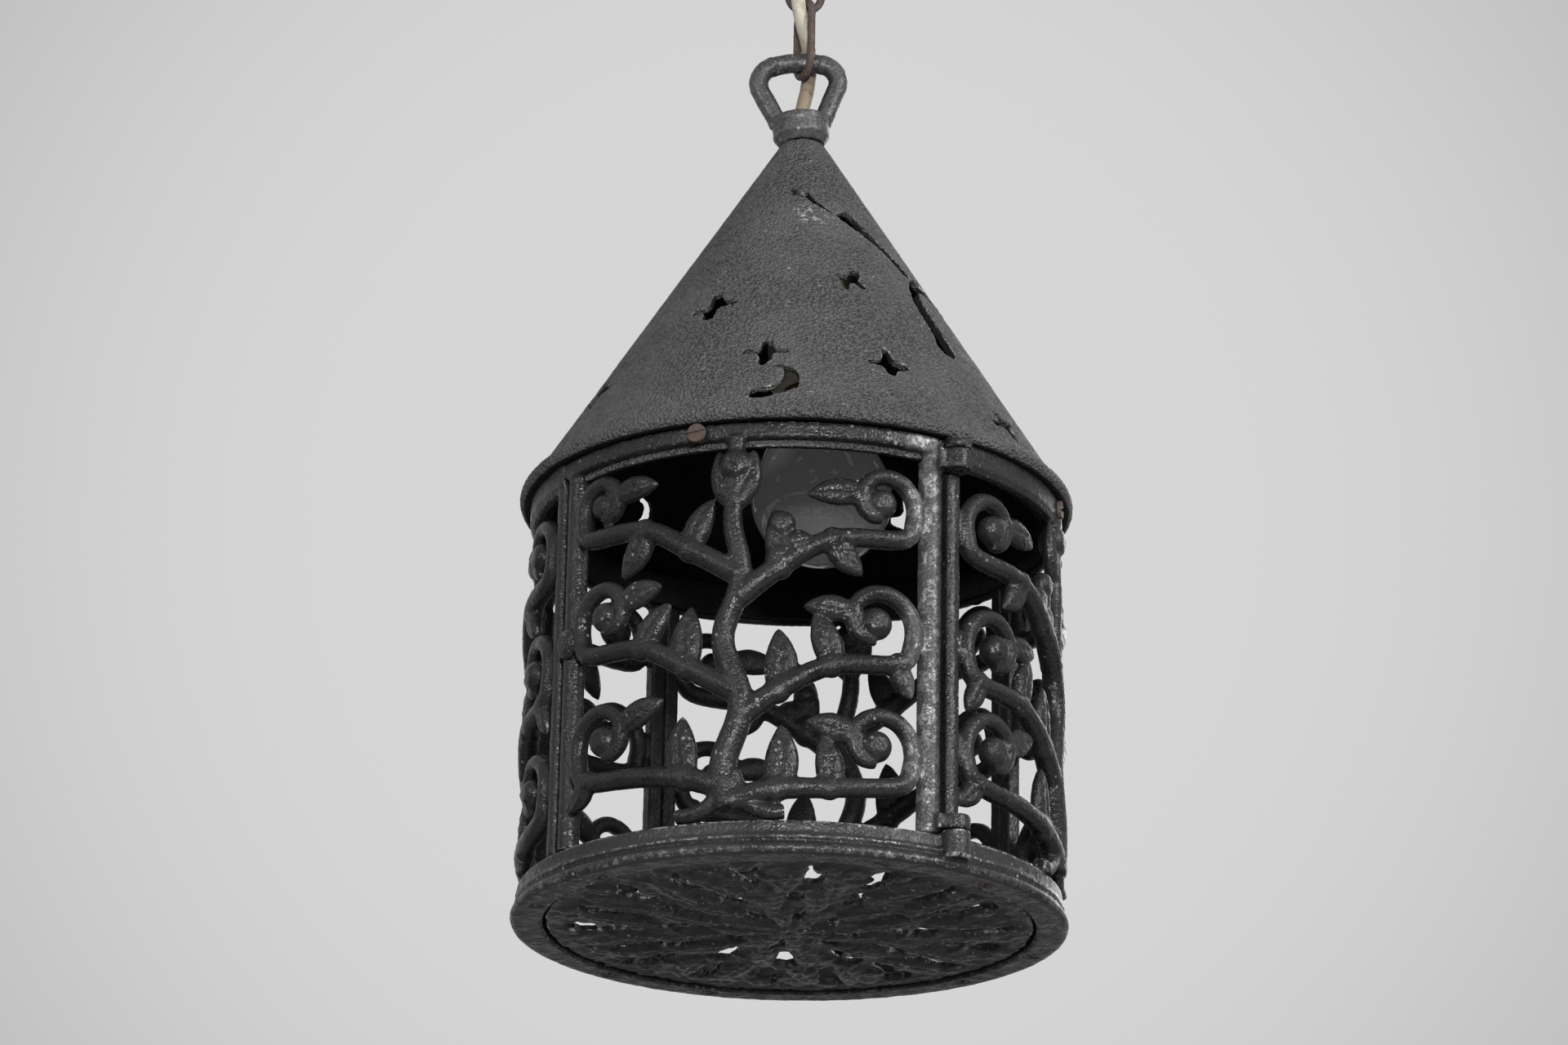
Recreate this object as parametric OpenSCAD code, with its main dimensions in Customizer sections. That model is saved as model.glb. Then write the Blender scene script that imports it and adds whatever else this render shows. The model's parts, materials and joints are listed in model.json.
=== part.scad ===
// Hanging lantern of cast iron: a pierced cone roof over a round openwork
// cage with a hinged door, hung by its loop on two chain links under a
// ceiling rose, with a lamp on a threaded tube inside.
// Millimetres. The origin is the middle of the rose's face on the ceiling.
// Azimuth 0 is the middle of the door, on -Y, and it grows towards +X.

/* [Ceiling rose and hook] */
// Outer radius of the ceiling rose
rose_r = 46; // [42:1:60]
// Depth of the rose below the ceiling
rose_h = 24; // [18:1:40]
// Thickness of the rose's rim
rose_rim = 3; // [2:0.1:5]
// Radius of the rose's dome at the rim
dome_r = 31; // [28:0.5:33]
// Wall of the dome
dome_wall = 2; // [1.2:0.1:3]
// Distance between the two screw holes
hole_span = 77; // [74:1:82]
// Radius of the screw holes
hole_r = 2.3; // [1.6:0.1:3]
// Wire of the hook
hook_wire = 4.8; // [3:0.1:6]
// Radius of the hook's bend, to the middle of its wire
hook_bend_r = 8.6; // [8:0.1:14]
// Radius of the hook's neck, to the middle of its wire
hook_neck_r = 6; // [5:0.5:7]
// Length from the rose to the top of the hook's bend
hook_stem = 8; // [7:1:30]

/* [Chain] */
// Wire of a chain link
link_wire = 3.5; // [2.5:0.1:4]
// Outer width of a link
link_w = 17.8; // [17:0.1:24]
// Outer length of a link
link_l = 38.4; // [34:0.1:60]
// Turn of the loop and chain about the upright, from the door's middle
chain_turn = 13; // [0:1:45]
// Twist of the lower link out of the plane square to the loop
link_twist = 25; // [0:1:28]
// Play between two hanging pieces of the chain
chain_play = 0.12; // [0.05:0.01:0.4]

/* [Loop] */
// Diameter of the loop's rod
loop_rod = 8.4; // [6:0.1:9]
// Height of the rod's crown above the collar
loop_rise = 27.4; // [26:0.1:36]
// Half width of the loop, to the middle of its rod
loop_half_w = 17.4; // [15:0.1:20]
// Radius of the loop's shoulders
loop_shoulder_r = 8.6; // [7:0.1:10]
// Distance of each leg's foot from the middle
loop_foot_x = 9.4; // [8:0.1:10]
// Radius of the collar
collar_r = 12.7; // [12:0.1:15]
// Height of the collar
collar_h = 12.4; // [9:0.1:16]

/* [Roof] */
// Reach of the cone's foot past the cage
roof_over = 1.5; // [1:0.1:6]
// Radius of the cone at its cut top
roof_top_r = 9.4; // [9:0.1:11]
// Height of the cone
roof_h = 167; // [140:1:200]
// Wall of the cone, square to its face
roof_wall = 3.5; // [3:0.1:4.5]
// Radius of the rolled brim
brim_r = 2.9; // [2.5:0.1:3.2]
// Depth of the skirt inside the cage
skirt_h = 10; // [9:0.1:12]
// Wall of the skirt
skirt_wall = 3.6; // [3:0.1:4.5]
// Reach of a star's arms
star_arm = 10; // [6:0.1:10.5]
// Half length of the small crescent
crescent_r = 12; // [8:0.1:12.5]
// Half length of the large crescent
moon_r = 26; // [16:0.5:27]
// Half length of the tapered slot above the large crescent
slot_r = 24; // [14:0.5:25]

/* [Cage] */
// Height from the ring's underside to the roof
cage_h = 182.2; // [160:0.1:210]
// Radius of the bottom ring's flange, which the cage and the roof follow
ring_r = 115; // [104:0.5:126]
// Width of the bottom ring's flange
ring_w = 13.5; // [13:0.1:17]
// Reach of the ring's flange past the cage
ring_over = 2.6; // [2.4:0.1:5]
// Thickness of the ring's flange
ring_t = 4.5; // [3.5:0.1:6]
// Height of the ring's upright band, from the underside
band_top = 14; // [12:0.1:18]
// Wall of the band
band_wall = 3.8; // [3:0.1:4.2]
// Height of a fixed panel's top rail
rail_h = 9.2; // [8:0.1:10]
// Thickness of a top rail
rail_t = 4.2; // [3.5:0.1:4.4]
// Width of a fixed panel's stile
stile_w = 6.5; // [5:0.1:8]
// Depth of a stile, from the cage's face inwards
stile_d = 7; // [6:0.1:8]
// Rod radius of the openwork's trunk
trunk_r = 5.6; // [4:0.1:6]
// Rod radius of the openwork's branches
branch_r = 4; // [2.8:0.1:4.6]

/* [Door] */
// Half of the door's angle
door_half = 46; // [44:0.1:47]
// Width of the door's half round stiles
door_stile_w = 10; // [8:0.1:11]
// Height of the door's top rail
door_rail_h = 6.8; // [6:0.1:7.2]
// Gap between the door and what is round it
door_gap = 0.6; // [0.4:0.05:1]
// Radius of the hinge's bosses and knuckles
knuckle_r = 5.9; // [5:0.1:6.5]
// Height of the lower knuckle
knuckle_low_h = 6; // [5:0.1:9]
// Height of the upper knuckle
knuckle_up_h = 8.6; // [6:0.1:10]
// Radius of a hinge pin
pin_r = 2; // [1.5:0.1:2.8]
// Height of the knob above the ring's underside
knob_z = 101; // [60:1:140]
// Radius of the knob
knob_r = 6.7; // [5:0.1:8]

/* [Screws] */
// Radius of a panel screw's head
screw_head_r = 3.9; // [3.4:0.1:4]
// Radius of a panel screw's shank
screw_r = 2.4; // [1.8:0.1:2.6]
// Radius of a base screw's shank
base_screw_r = 1.5; // [1.2:0.1:1.7]

/* [Lamp] */
// Radius of the bulb's globe
bulb_r = 30; // [22:0.5:34]
// Height of the globe's middle above the ring's underside
bulb_z = 190; // [160:1:215]
// Length from the globe's middle to the bulb's contact
bulb_stem = 75; // [70:1:82]
// Wall of the bulb's glass
glass_t = 0.8; // [0.5:0.1:1.2]
// Lean of the tube, the lamp and the loop in the roof's hole
lamp_lean = 3.8; // [0:0.1:4]
// Radius of the threaded tube
tube_r = 5; // [4.4:0.1:5]
// Bore radius of the threaded tube
tube_bore_r = 3.8; // [3.2:0.1:3.9]
// Radius of the lampholder's cap
holder_r = 18; // [17.5:0.1:22]
// Height of the lampholder's cap
holder_cap_h = 22.4; // [18:0.1:30]
// Wall of the lampholder
holder_wall = 1.6; // [1.2:0.1:2]
// Height of the lampholder above the bulb's contact
holder_h = 38; // [34:0.5:50]

/* [Cord] */
// Diameter of the cord
cord_d = 6.4; // [4:0.1:6.5]

/* [Hidden] */

$fn = 96;
eps = 0.01;
iron = [0.16, 0.16, 0.16];
pale_iron = [0.24, 0.24, 0.24];
rust = [0.33, 0.22, 0.19];
brass = [0.62, 0.5, 0.26];

// Radii that follow the bottom ring
cage_r = ring_r - ring_over;
ring_inner_r = ring_r - ring_w;
roof_foot_r = cage_r + roof_over;

// Heights from the ceiling down to the ring's underside
hook_eye_z = -rose_h - hook_stem - hook_bend_r;
hook_low_z = hook_eye_z - hook_bend_r;
hook_turn = 250;
link_span = link_l - link_wire;
upper_link_z = hook_low_z + (hook_wire + link_wire) / 2 + chain_play - link_span / 2;
upper_low_z = upper_link_z - link_span / 2;
lower_link_z = upper_low_z + link_wire + chain_play - link_span / 2;
lower_low_z = lower_link_z - link_span / 2;
loop_crown_z = lower_low_z + (link_wire + loop_rod) / 2 + chain_play;
roof_top_z = cage_h + 4.3 + roof_h;
collar_seat_z = roof_top_z + 0.8;
lean_z = roof_top_z - 3.9;
collar_top_z = collar_seat_z + collar_h;
base_z = loop_crown_z - collar_top_z - loop_rise;

// Roof cone
roof_foot_z = cage_h + 4.3;
slope = (roof_foot_r - roof_top_r) / roof_h;
roof_angle = atan(slope);
roof_wall_x = roof_wall / cos(roof_angle);
skirt_r = cage_r - rail_t - 0.4;
plug_z = roof_top_z - (12.6 + roof_wall_x - roof_top_r) / slope;
function roof_r(z) = roof_foot_r - slope * (z - roof_foot_z);

// Cage
door_bottom = band_top + door_gap;
door_rail_z = cage_h - 0.9 - door_rail_h;
rail_z = cage_h - rail_h;
skirt_z = cage_h - skirt_h;
stile_cut_z = skirt_z - door_gap;
rail_in_r = skirt_r + 0.15;
lip_r = cage_r - band_wall - 0.3;
lip_t = 4.2;
grille_t = 2.4;
lip_z = ring_t + grille_t;
screw_z = cage_h - 4.9;
post_az = [135, 225];

// Hinge
hinge_az = door_half + 1.5;
hinge_r = cage_r + 2.1;
boss_top = band_top + 1.5;
knuckle_low_z = boss_top + 0.4;
lug_z = cage_h - 5.4;
lug_top = cage_h - 1.2;
knuckle_up_z = lug_z - 0.5 - knuckle_up_h;
knuckle_clear = 0.5;
knob_shank_r = 2.45;
knob_nut_r = 3.6;

// Openwork: its forms are drawn for a face of this radius and grow with the cage
work_r = cage_r - 2.6;
drawn_r = 109.8;
growth = work_r / drawn_r;

// Lamp
bulb_cap_r = 13.1;
bulb_cap_h = 26;
contact_z = bulb_z + bulb_stem;
lamp_pivot_z = contact_z + holder_h;
holder_seam_z = lamp_pivot_z + 0.4 - holder_cap_h;

// Cord route in the chain's plane, from the collar up into the rose
cord_route = [[-0.5, 0, -142], [-0.9, 0.1, -136], [-0.8, 0.9, -131], [-0.2, 2.5, -126], [0.6, 4.6, -121],
    [1.5, 6.6, -116], [2, 8, -111.5], [2.4, 8.5, -107.5], [2.5, 7.8, -103.5], [2.3, 6.2, -100],
    [1.8, 3.9, -96.5], [0.8, 1.4, -92.5], [-0.5, -1.2, -88.3], [-1.7, -3.6, -84.3], [-2.6, -5.3, -80.5],
    [-3.2, -6.2, -76.5], [-3.8, -6.7, -72], [-5, -7, -65], [-6.4, -7.3, -57], [-7.1, -7.6, -48],
    [-7.4, -7.9, -40], [-7.4, -8, -30], [-7.4, -8, -24], [-7.4, -8, -18]];
cord_splits = [0, 9, 17, 23];
bush_x = -7.4;
bush_y = -8;

// Places and small shapes

module hang() translate([0, 0, base_z]) children();
module chain_plane() rotate([0, 0, chain_turn]) children();
module at(az, r, z) rotate([0, 0, az]) translate([0, -r, z]) children();
module at_hinge(z) at(hinge_az, hinge_r, z) children();
module radial(az, r, z) at(az, r, z) rotate([90, 0, 0]) children();
module on_roof(az, z) at(az, roof_r(z), z) rotate([90 - roof_angle, 0, 0]) children();

module arc_bar(r1, r2, z1, z2, a1, a2) {
    rotate([0, 0, a1 - 90]) rotate_extrude(angle = a2 - a1)
        translate([r1, z1]) square([r2 - r1, z2 - z1]);
}

module tube_ring(r, bore, z, h) {
    translate([0, 0, z]) difference() {
        cylinder(r = r, h = h);
        translate([0, 0, -1]) cylinder(r = bore, h = h + 2);
    }
}

module hex_nut(flats, bore, z, h) {
    translate([0, 0, z]) difference() {
        cylinder(r = flats / sqrt(3), h = h, $fn = 6);
        translate([0, 0, -1]) cylinder(r = bore, h = h + 2);
    }
}

module slotted_screw(head_r, head_h, shank_r, shank_l) {
    difference() {
        union() {
            cylinder(r = head_r, h = head_h);
            translate([0, 0, -shank_l]) cylinder(r = shank_r, h = shank_l + eps);
        }
        translate([-head_r - 1, -0.6, head_h - 0.9]) cube([2 * head_r + 2, 1.2, 2]);
    }
}

// Ceiling fitting

module ceiling_rose() color(iron) difference() {
    rotate_extrude() difference() {
        polygon([[0, -rose_h], [dome_r - 9, -rose_h], [dome_r - 5, -rose_h + 2],
            [dome_r, -rose_rim - 1], [dome_r + 1, -rose_rim], [rose_r - 1, -rose_rim],
            [rose_r, -rose_rim + 1], [rose_r, 0], [0, 0]]);
        polygon([[0, dome_wall - rose_h], [dome_r - 9.8, dome_wall - rose_h],
            [dome_r - 5 - dome_wall, dome_wall + 1 - rose_h], [dome_r - dome_wall, -rose_rim],
            [dome_r - dome_wall, 1], [0, 1]]);
    }
    translate([0, 0, -rose_h - 1]) cylinder(r = hook_wire / 2 + 0.15, h = dome_wall + 2);
    chain_plane() translate([bush_x, bush_y, -rose_h - 1])
        cylinder(r = cord_d / 2 + 1.5, h = dome_wall + 2);
    for (side = [-1, 1]) translate([side * hole_span / 2, 0, -rose_rim - 1])
        cylinder(r = hole_r, h = rose_rim + 2);
}

// An arc of wire in the hook's plane, from angle a on, about a place [across, up]
module hook_arc(centre, r, a, turn) {
    translate([0, centre[0], centre[1]]) rotate([90, 0, 90]) rotate([0, 0, a])
        rotate_extrude(angle = turn) translate([r, 0]) circle(d = hook_wire, $fn = 32);
}

module ceiling_hook() color(rust) chain_plane() {
    // The neck swings out from the stem and meets the bend on a tangent
    swing = asin(hook_neck_r / (hook_bend_r + hook_neck_r));
    neck_z = hook_eye_z + (hook_bend_r + hook_neck_r) * cos(swing);
    stem_top = dome_wall + hook_wire - rose_h;
    translate([0, 0, neck_z]) cylinder(d = hook_wire, h = stem_top - neck_z, $fn = 32);
    hook_arc([hook_neck_r, neck_z], hook_neck_r, 180, 90 - swing);
    hook_arc([0, hook_eye_z], hook_bend_r, 90 - swing - hook_turn, hook_turn);
    // Beads where the wire changes its bend
    for (place = [[0, neck_z], [hook_bend_r * sin(swing), hook_eye_z + hook_bend_r * cos(swing)]])
        translate([0, place[0], place[1]]) sphere(d = hook_wire + 0.4, $fn = 32);
}

module hook_nut() color([0.6, 0.6, 0.58]) {
    hex_nut(hook_wire * 1.9, hook_wire / 2 + 0.05, dome_wall - rose_h + 0.02, hook_wire * 0.8);
}

module terminal_block() color([0.85, 0.84, 0.78]) chain_plane() difference() {
    translate([8, -8, dome_wall - rose_h + 0.02]) cube([11, 16, 12]);
    for (side = [-1, 1]) translate([13.5, side * 4, dome_wall - rose_h + 5])
        cylinder(r = 1.6, h = 8, $fn = 24);
}

module cord_bush() color([0.12, 0.12, 0.12]) chain_plane() translate([bush_x, bush_y, 0]) difference() {
    union() {
        translate([0, 0, -rose_h - 1.6]) cylinder(r = cord_d / 2 + 2.6, h = 1.58);
        translate([0, 0, -rose_h - 0.1]) cylinder(r = cord_d / 2 + 1.4, h = dome_wall + 2);
    }
    translate([0, 0, -rose_h - 3]) cylinder(r = cord_d / 2 + 0.1, h = 8);
}

// Cord

function blend4(a, b, c, d, t) = 0.5 * (2 * b + (c - a) * t + (2 * a - 5 * b + 4 * c - d) * t * t
    + (3 * b - a - 3 * c + d) * t * t * t);
function smooth(p, n) = [for (i = [0 : len(p) - 2], j = [0 : n - 1])
    blend4(p[max(i - 1, 0)], p[i], p[i + 1], p[min(i + 2, len(p) - 1)], j / n), p[len(p) - 1]];
function unit(v) = v / norm(v);
function heading(p, i) = unit(p[min(i + 1, len(p) - 1)] - p[max(i - 1, 0)]);
function square_to(v, t) = unit(v - (v * t) * t);

// A tube along some of the points in p. Its half sizes w lie beside the vectors in out, and t along them
module swept(p, out, w, t, sides, first, last) {
    rings = [for (i = [first : last]) let (h = heading(p, i), o = square_to(out[i], h), b = cross(h, o))
        for (k = [0 : sides - 1]) p[i] + w[i] * cos(360 * k / sides) * b + t[i] * sin(360 * k / sides) * o];
    end = (last - first) * sides;
    walls = [for (i = [0 : last - first - 1], k = [0 : sides - 1])
        let (a = i * sides + k, b = i * sides + (k + 1) % sides)
        each [[a, b, b + sides], [a, b + sides, a + sides]]];
    polyhedron(rings, concat([for (k = [1 : sides - 2]) [0, k + 1, k]],
        [for (k = [1 : sides - 2]) [end, end + k, end + k + 1]], walls));
}

module cord_part(k) color([0.75, 0.7, 0.58]) chain_plane() {
    route = smooth(cord_route, 2);
    half = [for (q = route) cord_d / 2];
    swept(route, [for (q = route) [1, 0, 0]], half, half, 10, 2 * cord_splits[k], 2 * cord_splits[k + 1]);
}
module cord_lower() cord_part(0);
module cord_middle() cord_part(1);
module cord_upper() cord_part(2);

module tube_cord() color([0.75, 0.7, 0.58]) hang() lean() {
    low = lamp_pivot_z - 8;
    translate([0, 0, low]) cylinder(r = cord_d / 2, h = cord_route[0][2] - base_z - low - 0.2);
}

// Chain

module link() {
    side_x = (link_w - link_wire) / 2;
    bend_z = link_span / 2 - side_x;
    for (end = [0, 180]) rotate([end, 0, 0]) translate([0, 0, bend_z]) rotate([90, 0, 0])
        rotate_extrude(angle = 180) translate([side_x, 0]) circle(d = link_wire, $fn = 32);
    for (side = [-1, 1]) translate([side * side_x, 0, -bend_z])
        cylinder(d = link_wire, h = 2 * bend_z, $fn = 32);
}

module upper_link() color(rust) translate([0, 0, upper_link_z]) chain_plane() link();

module lower_link() color(rust) {
    translate([0, 0, lower_link_z]) chain_plane() rotate([0, 0, 90 + link_twist]) link();
}

// Loop

module hanging_loop() {
    crown = collar_top_z + loop_rise;
    // The crown's arc is centred where the tube leans, so its top stays over the axis
    crown_r = crown - lean_z;
    shoulder_x = loop_half_w - loop_shoulder_r;
    tilt = asin(shoulder_x / (crown_r - loop_shoulder_r));
    shoulder_z = lean_z + (crown_r - loop_shoulder_r) * cos(tilt);
    foot = [loop_foot_x - shoulder_x, collar_top_z - 2 - shoulder_z];
    reach = norm(foot);
    leg_l = sqrt(reach * reach - loop_shoulder_r * loop_shoulder_r);
    leg_a = atan2(foot[1], foot[0]) + acos(loop_shoulder_r / reach);
    color(pale_iron) hang() lean() difference() {
        union() {
            translate([0, 0, lean_z]) rotate([90, 0, 0]) rotate([0, 0, 90 - tilt])
                rotate_extrude(angle = 2 * tilt) translate([crown_r, 0]) circle(d = loop_rod, $fn = 48);
            for (side = [0, 1]) mirror([side, 0, 0]) translate([shoulder_x, 0, shoulder_z]) rotate([90, 0]) {
                rotate([0, 0, 90 - tilt]) translate([loop_shoulder_r, 0, 0])
                    sphere(r = loop_rod / 2 + 0.25, $fn = 48);
                rotate([0, 0, leg_a]) rotate_extrude(angle = 90 - tilt - leg_a)
                    translate([loop_shoulder_r, 0]) circle(d = loop_rod, $fn = 48);
                rotate([0, 0, leg_a]) translate([loop_shoulder_r, 0, 0]) rotate([90, 0, 0])
                    cylinder(d = loop_rod, h = leg_l, $fn = 48);
            }
            rotate_extrude() polygon([[0, collar_seat_z], [collar_r - 3, collar_seat_z],
                [collar_r - 0.4, collar_seat_z + 3.4], [collar_r - 0.4, collar_top_z - 4],
                [collar_r, collar_top_z - 3.4], [collar_r, collar_top_z - 0.8],
                [collar_r - 0.8, collar_top_z], [0, collar_top_z]]);
        }
        translate([0, 0, collar_seat_z - 1]) cylinder(r = tube_r + 0.05, h = collar_h - 3);
        translate([0, 0, collar_seat_z]) cylinder(r = cord_d / 2 + 0.8, h = collar_h + 1);
        translate([0, 0, collar_seat_z - 10]) cylinder(r = collar_r * 2, h = 10);
    }
}

// Roof

module pierce(az, share) {
    on_roof(az, roof_foot_z + share * roof_h)
        linear_extrude(height = 6 * roof_wall, center = true) children();
}

// Outlines of the blunt cast holes. The stars are drawn for arms of 10 mm
star_forms = [
    [[9.6, 2.6], [9.8, -0.2], [6, -0.6], [3, -0.8], [1.6, -2.6], [1.2, -8.8], [-3.6, -9], [-3.8, -4.6],
        [-5, -3.2], [-10.4, -3], [-10.4, 0.4], [-5.4, 1], [-3.4, 2.6], [-3.6, 9.4], [0.6, 10], [1.8, 6],
        [3.4, 3.8], [5.4, 3.2]],
    [[9.4, 1.8], [9.4, -1.2], [6, -1.2], [3.4, -1.6], [3, -5.4], [1, -8.4], [0.2, -9.6], [-1.4, -9.6],
        [-2.4, -7.6], [-2, -4], [-3.4, -1.6], [-9.6, -1], [-9.2, 2.4], [-4, 1.8], [-2.2, 3.4], [-1.6, 7],
        [-0.8, 8.8], [0.6, 7.4], [2.4, 8], [2.8, 4], [4, 2.2]],
    [[8.6, 0.4], [8.6, -3], [4.2, -4.8], [2.2, -6], [1.2, -9], [-2, -9], [-2.4, -6], [-3.6, -3.2],
        [-9.2, -3.2], [-9.2, 0.4], [-4.4, 0.6], [-2.2, 2.6], [-1.6, 5], [-1.5, 9.2], [1.2, 9.2], [1.9, 6],
        [2, 2.6], [3.6, 0.8]],
    [[2.4, 7.4], [5, 6.2], [5.2, 4], [3.8, 0.6], [6.8, -3.8], [5.8, -6], [3.2, -4.2], [1.2, -2.6],
        [-0.8, -3.2], [-1.6, -8], [-3.4, -7.6], [-5.4, -5.6], [-4, -1.6], [-5.8, 1.6], [-5.8, 3.8], [-2, 3],
        [0.2, 3.2], [1, 5.6]]];
small_crescent = [[-3, 12.2], [-2.4, 14], [1, 13.4], [4, 12.4], [6.4, 10], [7.8, 6.6], [8.4, 2.6], [8, -2.4],
    [5, -4.4], [0, -6.8], [-5, -8.8], [-9, -9.4], [-11.6, -9], [-11.6, -5.6], [-11, -2.4], [-8, -1.8],
    [-4.6, -2], [-1.4, -0.4], [0.9, 2.4], [2, 6], [1.8, 9.8], [0.4, 11.2]] / 12;
large_crescent = [[12, 21.4], [8, 23], [3.4, 20.4], [-1, 16.4], [-5, 10], [-7.4, 3], [-8.6, -5], [-8.8, -14],
    [-9.6, -21], [-12, -28], [-10, -32], [-5, -33.5], [-1.6, -30], [-0.8, -22], [-0.8, -12], [-1.2, -3],
    [0, 7], [2, 11.4], [5.6, 13], [10, 12.4], [15, 8], [19, 1], [21.6, 2.4], [20.6, 9], [16.6, 17]] / 26;
tapered_slot = [[-10, 10], [-4, 14], [-1, 10], [1.4, 4.8], [5.6, -1.4], [9.8, -7], [14, -12], [18, -18.4],
    [17.4, -21], [14, -21.6], [11, -16], [7.8, -11], [3, -6], [-2, -1], [-6, 3.4], [-9.4, 8]] / 24;

// Each star's azimuth, its height on the cone as a share, its turn and its form
roof_stars = [[-15.8, 0.385, 0, 0], [31.6, 0.475, 0, 3], [4.3, 0.2, 0, 1], [36, 0.19, 0, 2],
    [68, 0.095, 20, 1], [-50, 0.19, 10, 0], [162, 0.16, 10, 2], [-84, 0.44, 0, 1], [-104, 0.24, 15, 2],
    [-140, 0.4, 5, 0], [112, 0.33, 12, 3], [140, 0.47, 0, 1], [-168, 0.3, 18, 0], [100, 0.11, 6, 2]];

module roof_cone() color(iron) hang() difference() {
    union() {
        rotate_extrude() {
            polygon([[roof_top_r, roof_top_z], [roof_foot_r, roof_foot_z], [roof_foot_r, cage_h],
                [skirt_r, cage_h], [skirt_r, skirt_z], [skirt_r - skirt_wall, skirt_z],
                [skirt_r - skirt_wall, roof_foot_z - 1],
                [roof_r(roof_foot_z - 1) - roof_wall_x, roof_foot_z - 1],
                [12.6, plug_z], [tube_r + 0.7, plug_z], [tube_r + 0.7, roof_top_z]]);
        }
        rotate_extrude() translate([roof_foot_r + 0.3, cage_h - 0.6 + brim_r]) circle(r = brim_r, $fn = 48);
    }
    for (s = roof_stars) pierce(s[0], s[1]) rotate(s[2]) polygon(star_forms[s[3]] * star_arm / 10);
    pierce(8.4, 0.085) polygon(small_crescent * crescent_r);
    pierce(-122, 0.1) mirror([1, 0]) polygon(small_crescent * crescent_r);
    pierce(66, 0.447) polygon(large_crescent * moon_r);
    pierce(50, 0.668) polygon(tapered_slot * slot_r);
    for (az = [90, 180, 270, -8]) radial(az, cage_r + 2, screw_z)
        translate([0, 0, -12]) cylinder(r = screw_r + 0.1, h = 16);
}

module roof_screws() color(rust) hang() for (az = [90, 180, 270]) {
    radial(az, cage_r, screw_z) translate([0, 0, 0.02]) rotate(20 * az / 90)
        slotted_screw(screw_head_r, 1.8, screw_r, rail_t + skirt_wall + 0.2);
}

// Lamp

module lean() {
    chain_plane() translate([0, 0, lean_z]) rotate([0, -lamp_lean, 0]) translate([0, 0, -lean_z]) children();
}

washer_z = plug_z - 0.8;

module cup_washer() color(iron) hang() lean() tube_ring(11, tube_r + 0.05, washer_z - 3, 3);

module tube_nut() color([0.5, 0.48, 0.4]) hang() lean() hex_nut(15, tube_r + 0.05, washer_z - 7.2, 4.2);

module threaded_tube() color([0.5, 0.48, 0.4]) hang() lean() {
    tube_ring(tube_r, tube_bore_r, lamp_pivot_z - 9, collar_seat_z + collar_h - 4.2 - lamp_pivot_z + 9);
}

module cap_nuts() color([0.5, 0.48, 0.4]) hang() lean() {
    hex_nut(15, tube_r + 0.05, lamp_pivot_z + 0.5, 3);
    hex_nut(15, tube_r + 0.05, lamp_pivot_z - 4.8, 3);
}

module lampholder_cap() color([0.85, 0.84, 0.78]) hang() lean() difference() {
    room_r = holder_r - holder_wall;
    h = holder_cap_h;
    translate([0, 0, holder_seam_z]) rotate_extrude() difference() {
        polygon([[0, 0], [holder_r, 0], [holder_r, h * 0.45], [holder_r - 3, h * 0.76], [holder_r - 8, h],
            [0, h]]);
        polygon([[0, -1], [room_r, -1], [room_r, h * 0.42], [room_r - 2.8, h * 0.7], [room_r - 7, h - 2],
            [0, h - 2]]);
    }
    translate([0, 0, lamp_pivot_z - 4]) cylinder(r = tube_r + 0.05, h = 8);
}

module lampholder_insert() color([0.92, 0.9, 0.86]) hang() lean() difference() {
    foot = contact_z + 1.6;
    h = holder_seam_z + 0.36 * holder_cap_h - foot;
    translate([0, 0, foot]) cylinder(r = holder_r - holder_wall - 0.5, h = h);
    for (side = [-1, 1]) translate([side * holder_r * 0.44, 0, foot - 1])
        cylinder(r = 1.8, h = h + 2, $fn = 24);
}

module contact_spring() color(brass) hang() lean() difference() {
    translate([-5, -3, contact_z + 0.1]) cube([10, 6, 1.4]);
    translate([-2.6, -4, contact_z + 0.8]) cube([5.2, 8, 2]);
}

module lampholder_shell() color([0.85, 0.84, 0.78]) hang() lean() {
    low = contact_z - bulb_cap_h;
    top = holder_seam_z - 0.2;
    room_r = holder_r - holder_wall - 0.3;
    rotate_extrude() polygon([[bulb_cap_r + 0.6, low], [holder_r, low], [holder_r + 1.4, low + 3],
        [holder_r + 1.4, top - 0.2], [holder_r + 0.2, top], [room_r, top], [room_r, contact_z + 1.4],
        [bulb_cap_r + 0.6, contact_z - 1]]);
}

module bulb_cap() color(brass) hang() lean() rotate_extrude() {
    turns = 4;
    pitch = 3.6;
    foot = contact_z - bulb_cap_h;
    polygon([[0, foot - 4], [bulb_cap_r - 0.6, foot - 4], [bulb_cap_r - 0.6, contact_z - 5],
        [6, contact_z - 2], [4.6, contact_z - 1], [4.6, contact_z], [0, contact_z]]);
    for (k = [0 : turns - 1]) translate([bulb_cap_r - 1.4, foot + 5 + k * pitch]) circle(r = 1.3, $fn = 24);
}

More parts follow.
